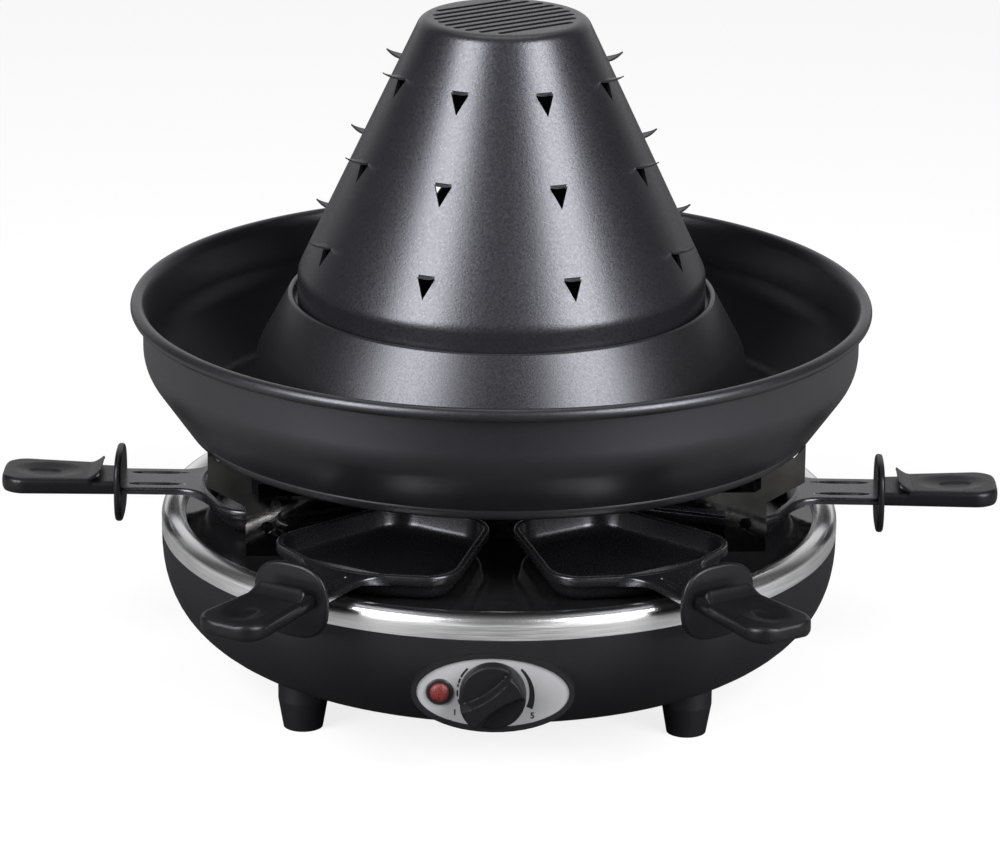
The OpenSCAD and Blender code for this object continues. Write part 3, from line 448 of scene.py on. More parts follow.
stands_for(mesh_piece("ring_channel", *lathe(ring_section, 240), ring_steel), "ring_steel", "rim_ring")

# Tray: deep-drawn steel sheet with glossy black enamel, under the pans.
# Enamel is a glass skin: nearly mirror smooth, with a slight wave and fine specks.
enamel = surface("tray_enamel", moulded_grain, (0.006, 0.006, 0.0065, 1), (0.011, 0.011, 0.012, 1),
                 (0.04, 0.13), (0.06, 0.0004), Grain_scale=160.0, Cloud_scale=30.0)
refined("pan_tray", enamel, "tray_enamel")

# Control plate: an oval of thin satin aluminium, lacquered and printed, snapped into the boss.
# Its scale is printed in dark ink: growing dashes on the left, a broad arc on the right.
PANEL_Z, PLATE_Y = 47.0, -165.7
INK_LIFT = 0.06
BAND_R, DASH_R = 17.0, 16.1
DASHES = ((197, 9, 0.7), (182, 11, 0.8), (168.6, 4.5, 0.8), (160, 8.5, 0.9), (144, 18.5, 1.0))
panel_silver = surface("panel_silver", moulded_grain, (0.50, 0.50, 0.525, 1), (0.57, 0.57, 0.595, 1),
                       (0.34, 0.46), (0.15, 0.00003), metal=0.55, Grain_scale=2600.0, Cloud_scale=60.0)
refined("control_panel", panel_silver, "panel_silver")
ink = surface("scale_ink", moulded_grain, (0.004, 0.004, 0.006, 1), (0.009, 0.009, 0.012, 1),
              (0.4, 0.55), None, Grain_scale=3000.0, Cloud_scale=200.0)


def joined(*parts):
    """Points and faces of several parts together."""
    verts, faces = [], []
    for part_verts, part_faces in parts:
        faces += [tuple(len(verts) + i for i in f) for f in part_faces]
        verts += part_verts
    return verts, faces


def printed_band(inner, outer, outer_end, start, end):
    """Points and faces of an arc band on the plate, whose outer radius changes along it."""
    steps = 10
    far = [polar(outer + (outer_end - outer) * k / steps, radians(start + (end - start) * k / steps))
           for k in range(steps + 1)]
    verts = [(x, PLATE_Y - INK_LIFT, PANEL_Z + z) for x, z in arc(0, 0, inner, start, end, steps) + far]
    return verts, [(k, k + 1, steps + 2 + k, steps + 1 + k) for k in range(steps)]


marks = [printed_band(BAND_R, 18.1, 20.1, 42, -23.5)]
for middle, span, thick in DASHES:
    marks.append(printed_band(DASH_R, DASH_R + thick, DASH_R + thick, middle + span / 2, middle - span / 2))
ink_parts = [plain_mesh("scale_marks", *joined(*marks))]
for digit, x, z in (("1", -17.6, -10.2), ("5", 18.4, -11.2)):
    curve = bpy.data.curves.new("digit", "FONT")
    curve.body = digit
    curve.size, curve.offset = 4.2 * MM, 0.11 * MM
    curve.align_x = curve.align_y = "CENTER"
    flat = made_plain(in_scene("digit", curve))
    flat.transform(Matrix.Translation((x * MM, (PLATE_Y - INK_LIFT) * MM, (PANEL_Z + z) * MM))
                   @ Matrix.Rotation(pi / 2, 4, "X"))
    ink_parts.append(flat)
work = bmesh.new()
for part in ink_parts:
    work.from_mesh(part)
for face in work.faces:
    face.normal_update()
    if face.normal.y > 0:
        face.normal_flip()
printed = bpy.data.meshes.new("panel_scale")
work.to_mesh(printed)
work.free()
scale_print = shown("panel_scale", printed, ink)
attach(scale_print, "base")

# Lamp: a red moulded lens in a dark snap ring, with a small lamp behind it.
# The lens has a fine prism pattern on its inside, so the red looks grainy.
lens_red, tree, shader = blank_material("lens_red")
prism = wired(tree, "ShaderNodeTexVoronoi", Vector=piece_place(tree), Scale=1100.0).outputs["Distance"]
filled(tree, shader, Base_Color=tinted(tree, prism, (0.17, 0.017, 0.015, 1), (0.055, 0.006, 0.006, 1)),
       Normal=bumped(tree, prism, 0.25, 0.0003), Roughness=0.5)
refined("indicator_lens", lens_red, "lens_red")
trim_plastic = moulded_plastic(
    "trim_plastic", (0.010, 0.010, 0.011, 1), (0.016, 0.016, 0.017, 1), 0.34, 1800.0, 0.00003)
refined("lens_ring", trim_plastic, "trim_black")
lamp_glass = moulded_plastic("lamp_glass", (0.50, 0.24, 0.12, 1), (0.72, 0.40, 0.22, 1), 0.2, 900.0, 0.00002)
dressed(lamp_glass, "indicator_lamp")

# Thermostat: a steel-cased control behind the boss, clamped by a nut on its threaded bush.
# Only the knob on its shaft shows from outside.
case_steel = brushed_metal("case_steel", (0.34, 0.33, 0.31, 1), (0.46, 0.45, 0.43, 1), (0.34, 0.54), 0.00003)
dressed(case_steel, "thermostat")
dressed(screw_zinc, "thermostat_nut", "thermostat_shaft")

# Knob: moulded in black plastic, a round cap with one waisted grip across it.
# A small pointer stands out of its edge; satin on the grip, a little duller round the rim.
KNOB_R, KNOB_BACK, KNOB_CAP, KNOB_GRIP = 15.5, -166.3, 7.0, 8.0
GRIP_TURN, GRIP_HALF, GRIP_FLARE = radians(36), 3.3, 1.8
POINTER_TURN, EDGE_ROUND = radians(222), 1.4
knob_plastic = moulded_plastic(
    "knob_plastic", (0.0030, 0.0030, 0.0036, 1), (0.0055, 0.0055, 0.0063, 1), 0.5, 1700.0, 0.00004, 0.3)


def eased(value):
    """Soft step from 0 to 1."""
    value = min(max(value, 0.0), 1.0)
    return value * value * (3 - 2 * value)


def knob_height(x, z):
    """Height of the knob's face above its back, at a place across it."""
    along = x * cos(GRIP_TURN) + z * sin(GRIP_TURN)
    across = -x * sin(GRIP_TURN) + z * cos(GRIP_TURN)
    half = GRIP_HALF + GRIP_FLARE * (along / 12) ** 2
    steep = 1 - eased((across - half + 0.9) / 1.2)
    slow = 1 - eased((-across - half + 0.6) / 4.5)
    return KNOB_CAP + KNOB_GRIP * min(steep, slow)


def skinned(loops, capped=True):
    """Points and faces through closed loops of equal length."""
    count = len(loops[0])
    verts = [p for loop in loops for p in loop]
    faces = [(j * count + i, j * count + (i + 1) % count,
              (j + 1) * count + (i + 1) % count, (j + 1) * count + i)
             for j in range(len(loops) - 1) for i in range(count)]
    if capped:
        faces += [tuple(range(count))[::-1], tuple((len(loops) - 1) * count + i for i in range(count))]
    return verts, faces


rings, turns = 48, 144
circle = [2 * pi * t / turns for t in range(turns)]
face_loops = []
for k in range(rings + 1):
    edge = max(0.0, (KNOB_R * k / rings - KNOB_R + EDGE_ROUND) / EDGE_ROUND)
    fall = 1 - sqrt(max(0.0, 1 - edge * edge))
    loop = []
    for x, z in [polar(KNOB_R * k / rings, a) for a in circle]:
        height = knob_height(x, z)
        loop.append((x, -(height - fall * (0.9 + 0.4 * (height - KNOB_CAP))), z))
    face_loops.append(loop)
for reach, back in ((KNOB_R, -0.4), (KNOB_R - 0.5, 0.0), (0.0, 0.0)):
    face_loops.append([(x, back, z) for x, z in [polar(reach, a) for a in circle]])
pointer_loops = []
for depth, reach, out_depth, root_half, tip_half in ((-0.8, 1.2, -0.8, 1.2, 0.8), (-4.6, 0.8, -4.2, 1.0, 0.7)):
    corners = ((KNOB_R - 2, depth, -root_half), (KNOB_R + reach, out_depth, -tip_half),
               (KNOB_R + reach, out_depth, tip_half), (KNOB_R - 2, depth, root_half))
    places = [(turned(x, z, POINTER_TURN), y) for x, y, z in corners]
    pointer_loops.append([(x, y, z) for (x, z), y in places])
verts, faces = joined(skinned(face_loops, False), skinned(pointer_loops))
verts = [(x, KNOB_BACK + y, PANEL_Z + z) for x, y, z in verts]
stands_for(mesh_piece("knob_cap", verts, faces, knob_plastic, 50), "knob_black", "control_knob")

# Uprights: four folded strips of plated steel, screwed to the tray.
# Each carries the heater on its arm and the moat on its finger; saddles clip the tube down.
# The plating's colour is darkened and patchy: painted reflection of the dark pans and moat round it, not the
# steel's own tone.
plate_painted_reflection = surface("plate_painted_reflection", moulded_grain, (0.09, 0.088, 0.086, 1), (0.20, 0.196, 0.19, 1),
                       (0.05, 0.14), (0.03, 0.0003), metal=1.0, Grain_scale=420.0, Cloud_scale=35.0)
dressed(plate_painted_reflection, "heater_clips", *[f"upright_{k}" for k in range(1, 5)])

# Heater: one sheathed tube bent to a ring, its two cold legs going down through ceramic bushes.
# The sheath is stainless steel gone brown and blue with heat.
HEATER_R, TUBE_R, HEATER_Z = 88.0, 3.5, 112.85
COLD_X, COLD_Y, COLD_END, BEND_R = 9.0, 128.0, 58.5, 10.0
heat_tint = surface("heat_tinted_steel", moulded_grain, (0.055, 0.040, 0.034, 1), (0.15, 0.115, 0.095, 1),
                    (0.38, 0.6), (0.3, 0.00005), metal=0.8, Grain_scale=800.0, Cloud_scale=55.0)
bend_turn = asin((BEND_R + COLD_X) / (HEATER_R + BEND_R))
bend_y, bend_x = polar(HEATER_R + BEND_R, bend_turn)
ring_gap = degrees(bend_turn)
leg = [(x, y, HEATER_Z) for x, y in arc(bend_x, bend_y, BEND_R, 270 - ring_gap, 180)[1:]]
leg += [(COLD_X, y, z) for y, z in arc(COLD_Y - BEND_R, HEATER_Z - BEND_R, BEND_R, 90, 0)]
leg.append((COLD_X, COLD_Y, COLD_END))
loop = [(x, y, HEATER_Z) for x, y in arc(0, 0, HEATER_R, 90 + ring_gap, 450 - ring_gap, 96)]
route = [(-x, y, z) for x, y, z in leg[::-1]] + loop + leg
route_mesh = plain_mesh("heater_route", route, edges=[(k, k + 1) for k in range(len(route) - 1)])
tube_tree, tube_in, tube_out = node_tree("bent_tube", {
    "Tube radius": ("Float", TUBE_R * MM), "Sides": ("Int", 24), "Finish": ("Material", None)})
tube_path = wired(tube_tree, "GeometryNodeMeshToCurve", Mesh=tube_in["Geometry"])
tube_round = wired(tube_tree, "GeometryNodeCurvePrimitiveCircle", Resolution=tube_in["Sides"],
                   Radius=tube_in["Tube radius"])
tube_skin = wired(tube_tree, "GeometryNodeCurveToMesh", Curve=tube_path.outputs["Curve"],
                  Profile_Curve=tube_round.outputs["Curve"], Fill_Caps=True)
closed_tree(tube_tree, tube_out, tube_skin.outputs["Mesh"], tube_in["Finish"])
heater_tube = grown("heater_tube", route_mesh, tube_tree, {"Finish": heat_tint}, heat_tint)
stands_for(heater_tube, "heater_oxide", "heater")
ceramic = moulded_plastic("ceramic", (0.55, 0.53, 0.48, 1), (0.72, 0.70, 0.65, 1), 0.6, 1200.0, 0.00005)
dressed(ceramic, "heater_bushes", "terminal_block")

# Cord inlet: a black bush in the back of the housing, where the mains lead goes in.
# It is moulded in the same plastic as the lens ring.
dressed(trim_plastic, "cord_gland")

# Pans: drawn from sheet with a turned-down rim, and a tang with pressed grooves in one piece with it.
# They are coated inside and out with satin black non-stick.
PAN_LOW, PAN_TOP, PAN_SHEET, PAN_BEND = 79.3, 92.9, 1.2, 6.0
RIM_W, RIM_H, WELL_LEAN = 3.2, 4.6, 6.5
TANG_Z, TANG_T, TANG_HALF = 91.1, 1.4, 15.5
FLARE_X, FLARE_R, FLARE_TIP, GUARD_X = 158.2, 18.0, 142.0, 185.0
TANG_GROOVE, TANG_EDGE, TANG_DROP = 8.5, 1.4, 1.8
GROOVE_FROM, GROOVE_FADE, GROOVE_W, GROOVE_DEPTH = 153.0, 9.0, 2.0, 0.95
RIM_ROUND, RIM_INNER_ROUND, BEND_LEAN, BEND_REACH = 1.3, 1.2, 0.14, 0.9
PAN_CORNERS = [(70, -13, 20), (120, -31, 18), (90, 0, 58), (120, 31, 18), (70, 13, 20)]
PAN_TURNS = (0, 60, 120, 180, 240, 303.5)

nonstick_peel, peel_in, peel_out = group_of(
    "nonstick_peel", {"Peel scale": 900.0, "Cloud scale": 16.0}, ["Height", "Tone", "Shine"])
peel_place = piece_place(nonstick_peel)
peel_coarse = noise_in(nonstick_peel, peel_place, peel_in["Peel scale"], 1.5, 0.45)
peel_fine_scale = counted(nonstick_peel, "MULTIPLY", peel_in["Peel scale"], 2.7)
peel_fine = noise_in(nonstick_peel, peel_place, peel_fine_scale, 2.0, 0.6)
peel_sum = counted(nonstick_peel, "MULTIPLY_ADD", peel_fine, 0.4)
nonstick_peel.links.new(peel_coarse, peel_sum.node.inputs[2])
for label, value in (
        ("Height", peel_sum),
        ("Tone", noise_in(nonstick_peel, peel_place, peel_in["Cloud scale"], 5.0, 0.6)),
        ("Shine", noise_in(nonstick_peel, peel_place, peel_in["Peel scale"], 2.0))):
    nonstick_peel.links.new(value, peel_out[label])


def nonstick(name, dark, light, rough, peel, relief):
    """Satin non-stick coat with an orange-peel skin."""
    return surface(name, nonstick_peel, dark, light, rough, relief, gloss=0.75, tint=GLOSS_TINT,
                   Peel_scale=peel)


def inset(corners, d):
    """Corner circles, each smaller by d."""
    return [(x, y, r - d) for x, y, r in corners]


def mixed(a, b, f):
    """Corner circles between two sets."""
    return [tuple(p * (1 - f) + q * f for p, q in zip(c, d)) for c, d in zip(a, b)]


def edge_turn(a, b):
    """Direction that faces out of the straight edge from one circle to the next."""
    run, rise = b[0] - a[0], b[1] - a[1]
    return atan2(rise, run) - acos((a[2] - b[2]) / hypot(run, rise))


def outline(corners, steps=14):
    """Points round circles that are joined by straight edges."""
    points = []
    for i, (x, y, r) in enumerate(corners):
        start = edge_turn(corners[i - 1], corners[i])
        sweep = (edge_turn(corners[i], corners[(i + 1) % len(corners)]) - start) % (2 * pi)
        points += arc(x, y, r, degrees(start), degrees(start + sweep), steps)
    return points


def at_level(corners, z):
    """Outline lifted to a height."""
    return [(x, y, z) for x, y in outline(corners)]


def quarter(steps):
    """Sine and cosine of even steps over a quarter turn."""
    return [polar(1, pi / 2 * k / steps)[::-1] for k in range(steps + 1)]


def pan_part():
    """Well and rim of the pan that points along +X, from its floor outside to its floor inside."""
    well_top = inset(PAN_CORNERS, RIM_W)
    well_floor = inset(well_top, WELL_LEAN)
    rim_low = PAN_TOP - RIM_H

    def bend_loops(bend, low):
        """Loops of the bend from the floor up into the side."""
        bend_line = []
        for s, c in quarter(8):
            corners = inset(mixed(well_floor, well_top, (1 - c) * BEND_LEAN), -bend * s * BEND_REACH)
            bend_line.append(at_level(corners, low + bend * (1 - c)))
        return bend_line

    loops = bend_loops(PAN_BEND, PAN_LOW)
    loops.append(at_level(inset(well_top, -PAN_SHEET), rim_low + 0.5))
    for sunk, lift in ((0.9, 0.3), (0.2, 0.0), (0.0, 0.3)):
        loops.append(at_level(inset(PAN_CORNERS, sunk), rim_low + lift))
    for s, c in quarter(6):
        loops.append(at_level(inset(PAN_CORNERS, RIM_ROUND * (1 - c)), PAN_TOP - RIM_ROUND * (1 - s)))
    for s, c in quarter(5)[1:]:
        inner = inset(PAN_CORNERS, RIM_W - RIM_INNER_ROUND + 1.1 * s)
        loops.append(at_level(inner, PAN_TOP - RIM_INNER_ROUND * (1 - c)))
    return skinned(loops + bend_loops(PAN_BEND - PAN_SHEET, PAN_LOW + PAN_SHEET)[::-1])


def tang_half(x):
    """Half width of the tang at a place along it."""
    if x >= FLARE_X:
        return TANG_HALF
    return TANG_HALF + FLARE_R - sqrt(FLARE_R ** 2 - (FLARE_X - max(x, FLARE_TIP)) ** 2)


def tang_start(share):
    """Place along the tang where it leaves the rim, for a share of its half width."""
    cx, _, reach = PAN_CORNERS[2]
    return cx + sqrt(reach ** 2 - (share * tang_half(FLARE_TIP)) ** 2) - 0.8


def tang_part():
    """Tang with turned-down edges and two pressed grooves."""
    top, steps = TANG_Z + TANG_T, 56
    loops = []
    for step in range(steps + 1):
        along = 0.2 * step / steps + 0.8 * (step / steps) ** 2
        crest, sides = [], []
        for share in [-1.0 + k / 24 for k in range(49)]:
            first = tang_start(share)
            x = first + (GUARD_X + 0.4 - first) * along
            y = share * (tang_half(x) - TANG_EDGE)
            fade = min((x - GROOVE_FROM) / GROOVE_FADE, (GUARD_X - 3 - x) / 5)
            width = GROOVE_W * min(1.0, max(0.0, fade))
            groove = eased(1.3 * (1 - abs(abs(y) - TANG_GROOVE) / width)) if width > 0.05 else 0.0
            crest.append((x, y, top - GROOVE_DEPTH * groove))
        for side, x in ((-1, crest[0][0]), (1, crest[-1][0])):
            half = tang_half(x)
            edge = []
            for a in (22, 45, 68, 90):
                out, drop = sin(radians(a)), 1 - cos(radians(a))
                edge.append((x, side * (half - TANG_EDGE + TANG_EDGE * out), top - TANG_EDGE * drop))
            at_rim = 1 - eased((x - tang_start(1.0)) / 14)
            low = top - TANG_EDGE - TANG_DROP - (RIM_H - TANG_EDGE - TANG_DROP) * at_rim
            edge += [(x, side * half, low), (x, side * (half - 0.9), low), (x, side * (half - 1.0), TANG_Z)]
            sides.append(edge)
        loops.append(sides[0][::-1] + crest + sides[1])
    return skinned(loops)


def around(part, number):
    """Part of the pan along +X, turned to the place of another pan."""
    a = radians(PAN_TURNS[number])
    return [(*turned(x, y, a), z) for x, y, z in part[0]], part[1]


pan_coat = nonstick("pan_nonstick", (0.0065, 0.0065, 0.0074, 1), (0.0105, 0.0105, 0.0118, 1),
                    (0.20, 0.30), 1800.0, (0.16, 0.00003))
pan_shape = joined(pan_part(), tang_part())
for number in range(6):
    pan = mesh_piece(f"pan_{number + 1}_drawn", *around(pan_shape, number), pan_coat, 40)
    stands_for(pan, "pan_black", f"pan_{number + 1}")

# Handles: moulded in one piece round the tang's tail, with an oval guard and a dished grip.
# The dish ends in a lip that curls up for the thumb; satin black with a fine grain.
GUARD_T, GUARD_W, GUARD_H, GUARD_DROP, GUARD_SQUARE = 3.4, 40.0, 36.0, 1.5, 0.74
GRIP_L, GRIP_W, NECK_W, GRIP_T, GRIP_TIP, GRIP_EDGE = 59.4, 34.0, 27.0, 8.0, 11.0, 2.4
GRIP_SLOPE, NECK_L, NECK_DROP = radians(1), 12.0, 1.2
DISH_X, DISH_L, DISH_W, DISH_DEPTH = 37.0, 36.0, 23.0, 2.2
OVAL_L, OVAL_W, OVAL_DEPTH = 17.0, 8.0, 0.5
LIP_RUN, LIP_SINK, LIP_RISE, LIP_LEAN, LIP_T, LIP_CORNER = 6.0, 0.5, 4.4, 4.0, 1.4, 4.0
GUARD_EDGE = 1.3
handle_plastic = moulded_plastic(
    "handle_plastic", (0.0026, 0.0026, 0.0032, 1), (0.0048, 0.0048, 0.0056, 1), 0.38, 1600.0, 0.00005, 0.34)


def grip_half(x):
    """Half width of the grip at a place along it."""
    straight = GRIP_L - GRIP_TIP
    taper = NECK_W / 2 + (GRIP_W - NECK_W) / 2 * min(x / straight, 1.0)
    if x > straight:
        taper = GRIP_W / 2 - GRIP_TIP + sqrt(max(0.0, GRIP_TIP ** 2 - (x - straight) ** 2))
    return taper


def grip_top(x, y):
    """Height of the grip's upper side above its middle, with the dish and its oval."""
    level = GRIP_T / 2 - NECK_DROP * (1 - eased((x - GUARD_T - NECK_L + 0.4) / 0.8))
    q = ((x - DISH_X) / (DISH_L / 2)) ** 2 + (y / (DISH_W / 2)) ** 2
    dish = DISH_DEPTH * eased((1 - q) * 0.62) if q < 1 else 0.0
    p = ((x - DISH_X - 2) / (OVAL_L / 2)) ** 2 + (y / (OVAL_W / 2)) ** 2
    return level - dish - OVAL_DEPTH * eased((1 - p) * 3.0)


def grip_part():
    """Grip lofted along its length."""
    stations = [GUARD_T - 1 + 0.9 * k for k in range(62)]
    stations = [x for x in stations if x < GRIP_L - GRIP_EDGE]
    stations += [GRIP_L - GRIP_EDGE + GRIP_EDGE * sin(radians(a)) for a in (0, 18, 36, 54, 70, 82, 90)]
    loops = []
    for x in stations:
        round_off = max(0.0, x - GRIP_L + GRIP_EDGE)
        sunk = GRIP_EDGE - sqrt(max(0.0, GRIP_EDGE ** 2 - round_off ** 2))
        half = grip_half(min(x, GRIP_L - 0.02)) - 0.15 * sunk
        flat = half - GRIP_EDGE
        upper = [(x, y, grip_top(x, y) - sunk) for y in [-flat + 2 * flat * k / 30 for k in range(31)]]
        high, low = upper[-1][2], sunk - GRIP_T / 2
        bend = min(GRIP_EDGE, (high - low) / 2)
        right = [(x, flat + GRIP_EDGE * s, high - bend * (1 - c)) for s, c in quarter(5)[1:]]
        for a in (0, 22, 45, 68, 90):
            c, s = polar(1, radians(a))
            right.append((x, flat + GRIP_EDGE * c, low + bend * (1 - s)))
        loops.append(upper + right + [(x, -y, z) for x, y, z in right[::-1]])
    return skinned(loops)


def offset(line, i, d):
    """Point of a line moved sideways by d, to the right of the way it runs."""
    before, after = line[max(i - 1, 0)], line[min(i + 1, len(line) - 1)]
    run, rise = after[0] - before[0], after[1] - before[1]
    size = hypot(run, rise)
    return d * rise / size, -d * run / size


def lip_part():
    """Curled lip behind the dish."""
    path = [(LIP_RUN - (LIP_RUN + LIP_LEAN) * k / 16, LIP_RISE * (k / 16) ** 2.4) for k in range(17)]
    path += [(-LIP_LEAN - 0.5, LIP_RISE + 0.2), (-LIP_LEAN - 0.9, LIP_RISE - 0.1)]
    loops = []
    for y in [-NECK_W / 2 + NECK_W * k / 24 for k in range(25)]:
        side = max(0.0, abs(y) - NECK_W / 2 + LIP_CORNER) / LIP_CORNER
        keep = sqrt(max(0.0, 1 - side * side))
        inner = [(x, z * (0.55 + 0.45 * keep)) for x, z in path]
        outer = []
        for i, (x, z) in enumerate(inner):
            dx, dz = offset(path, i, LIP_T * (0.35 + 0.65 * keep))
            outer.append((x - dx, z - dz))
        loops.append([(GUARD_T + NECK_L + x, y, GRIP_T / 2 - LIP_SINK + z) for x, z in inner + outer[::-1]])
    return skinned(loops)


def guard_part():
    """Oval guard with rounded edges, before it is set upright on the tang."""
    edge = [polar(GUARD_EDGE, radians(a)) for a in (0, 22, 45, 68, 90)]
    stations = [(GUARD_EDGE - c, GUARD_EDGE - s) for c, s in edge]
    stations += [(GUARD_T - x, d) for x, d in stations[::-1]]
    loops = []
    for x, d in stations:
        loop = []
        for c, s in [polar(1, 2 * pi * k / 96) for k in range(96)]:
            loop.append((x, (GUARD_W / 2 - d) * copysign(abs(c) ** GUARD_SQUARE, c),
                         (GUARD_H / 2 - d) * copysign(abs(s) ** GUARD_SQUARE, s)))
        loops.append(loop)
    return skinned(loops)


def raised(part, slope, drop=0.0):
    """Part put at the guard's place, turned up by a slope."""
    tang_mid = TANG_Z + TANG_T / 2 - drop
    places = [(turned(x, z, slope), y) for x, y, z in part[0]]
    return [(GUARD_X + x, y, tang_mid + z) for (x, z), y in places], part[1]


handle_shape = joined(raised(grip_part(), GRIP_SLOPE), raised(lip_part(), GRIP_SLOPE),
                      raised(guard_part(), 0.0, GUARD_DROP))
for number in range(6):
    handle = mesh_piece(f"handle_{number + 1}_moulded", *around(handle_shape, number), handle_plastic, 48)
    stands_for(handle, "handle_black", f"handle_{number + 1}")

# Rivets: two plain aluminium rivets hold each tang in its handle, seen only from below.
# One domed head is repeated at every place.
RIVET_R, RIVET_L, RIVET_HEAD_R, RIVET_HEAD_H = 2.0, 4.3, 3.4, 1.4
RIVET_PLACES = (195.0, 207.0)
RIVET_Z = TANG_Z - 1.8
rivet_tree, rivet_in, rivet_out = node_tree("flat_rivet", {
    "Head radius": ("Float", RIVET_HEAD_R * MM),
    "Head height": ("Float", RIVET_HEAD_H * MM),
    "Shank radius": ("Float", RIVET_R * MM),
    "Finish": ("Material", None)})
rivet_top = counted(rivet_tree, "MULTIPLY", rivet_in["Head radius"], 0.78)
rivet_head = wired(rivet_tree, "GeometryNodeMeshCone", Vertices=24, Radius_Top=rivet_in["Head radius"],
                   Radius_Bottom=rivet_top, Depth=rivet_in["Head height"])
rivet_low = vector_of(rivet_tree, Z=counted(rivet_tree, "MULTIPLY", rivet_in["Head height"], -1.0))
rivet_shank = wired(rivet_tree, "GeometryNodeMeshCylinder", Vertices=20, Radius=rivet_in["Shank radius"],
                    Depth=RIVET_L * MM)
rivet_one = gathered(
    rivet_tree, "GeometryNodeJoinGeometry", "Geometry",
    moved(rivet_tree, rivet_head.outputs["Mesh"], Translation=rivet_low),
    moved(rivet_tree, rivet_shank.outputs["Mesh"], Translation=(0, 0, 0.0021)))
rivet_all = repeated(rivet_tree, rivet_in["Geometry"], rivet_one.outputs["Geometry"])
closed_tree(rivet_tree, rivet_out, rivet_all, rivet_in["Finish"])
rivet_metal = brushed_metal("rivet_metal", (0.46, 0.46, 0.47, 1), (0.60, 0.60, 0.61, 1), (0.3, 0.46), 0.00002)
for number, pan_turn in enumerate(PAN_TURNS, 1):
    places = [(*polar(x, radians(pan_turn)), RIVET_Z) for x in RIVET_PLACES]
    heads = grown(f"rivets_{number}_heads", plain_mesh("rivet_places", places), rivet_tree,
                  {"Finish": rivet_metal}, rivet_metal)
    stands_for(heads, "rivet_steel", f"rivets_{number}")

# Moat: a ring-shaped bowl for broth, spun from sheet, with a rolled lip and a collar for the hat.
# It has the hat's dark non-stick coat, a little smoother.
LIP_OUT, LIP_Z, BEAD = 180.0, 189.0, 3.2
MOAT_Z, MOAT_FLOOR, MOAT_WALL = 122.0, 129.0, 2.0
COLLAR_R, LEDGE_IN, LEDGE_Z, CREST = 104.0, 92.0, 187.0, 1.6
WALL_BEND_R, WALL_FOOT_R, BEND_Z = 119.0, 121.0, 163.0
FOOT_IN, FOOT_OUT, CONE_LOW = 125.0, 134.5, (152.0, 126.5)
SIDE_R, SIDE_Z, SIDE_BEND, FOOT_BEND = 174.0, 158.0, 25.0, 5.0
SEAM_Z, SEAM_DEPTH = 132.4, 0.8


def rounded(a, b, c, r, steps=7):
    """Arc that rounds the corner b between a and c."""
    a, b, c = Vector(a), Vector(b), Vector(c)
    u, v = (a - b).normalized(), (c - b).normalized()
    half = u.angle(v) / 2
    p, q = b + u * r / tan(half), b + v * r / tan(half)
    m = b + (u + v).normalized() * r / sin(half)
    start = atan2(p.y - m.y, p.x - m.x)
    sweep = atan2(q.y - m.y, q.x - m.x) - start
    sweep = sweep - 2 * pi if sweep > pi else sweep + 2 * pi if sweep < -pi else sweep
    return arc(m.x, m.y, r, degrees(start), degrees(start + sweep), steps)


cone_run = (SIDE_R - CONE_LOW[0]) / (SIDE_Z - CONE_LOW[1])
cone_wall = MOAT_WALL * hypot(cone_run, 1)
floor_out = (CONE_LOW[0] + (MOAT_FLOOR - CONE_LOW[1]) * cone_run - cone_wall, MOAT_FLOOR)
side_in = (SIDE_R - MOAT_WALL, SIDE_Z + (cone_wall - MOAT_WALL) / cone_run)
lip_in = (SIDE_R - MOAT_WALL, LIP_Z - 6)
wall_x = MOAT_WALL * 1.15
moat_section = (
    [(LEDGE_IN, LEDGE_Z - MOAT_WALL), (LEDGE_IN, LEDGE_Z), (COLLAR_R - 2 * CREST, LEDGE_Z)]
    + arc(COLLAR_R - CREST, LIP_Z + 1, CREST, 180, 20, 12)
    + rounded((COLLAR_R, LIP_Z), (WALL_BEND_R, BEND_Z), (WALL_FOOT_R, MOAT_FLOOR + 8), 30, 8)
    + rounded((WALL_BEND_R, BEND_Z), (WALL_FOOT_R, MOAT_FLOOR), floor_out, 6)
    + rounded((WALL_FOOT_R, MOAT_FLOOR), floor_out, side_in, 8)
    + rounded(floor_out, side_in, lip_in, SIDE_BEND - MOAT_WALL, 16)
    + [lip_in]
    + arc(LIP_OUT - BEAD, LIP_Z - BEAD, BEAD, 150, -140, 24)
    + [(SIDE_R, LIP_Z - 8)]
    + rounded((SIDE_R, LIP_Z - 8), (SIDE_R, SIDE_Z), CONE_LOW, SIDE_BEND, 18)
    + [(CONE_LOW[0] + (SEAM_Z + lift - CONE_LOW[1]) * cone_run - sunk, SEAM_Z + lift)
       for lift, sunk in ((0.8, 0.0), (0.1, SEAM_DEPTH), (-0.5, SEAM_DEPTH * 0.3), (-0.9, 0.0))]
    + rounded((SIDE_R, SIDE_Z), CONE_LOW, (FOOT_OUT, CONE_LOW[1]), FOOT_BEND, 10)
    + [(FOOT_OUT, CONE_LOW[1]), (FOOT_OUT, MOAT_Z), (FOOT_IN, MOAT_Z), (FOOT_IN, CONE_LOW[1])]
    + [(WALL_FOOT_R - wall_x, CONE_LOW[1]), (WALL_BEND_R - wall_x, BEND_Z),
       (COLLAR_R - wall_x + 0.5, LEDGE_Z - MOAT_WALL)])
moat_coat = nonstick("moat_nonstick", (0.0055, 0.0055, 0.0068, 1), (0.0090, 0.0090, 0.0108, 1),
                     (0.31, 0.40), 1000.0, (0.4, 0.00006))
moat = mesh_piece("moat_spun", *lathe(moat_section, 240), moat_coat, 40)
stands_for(moat, "nonstick_moat", "moat")

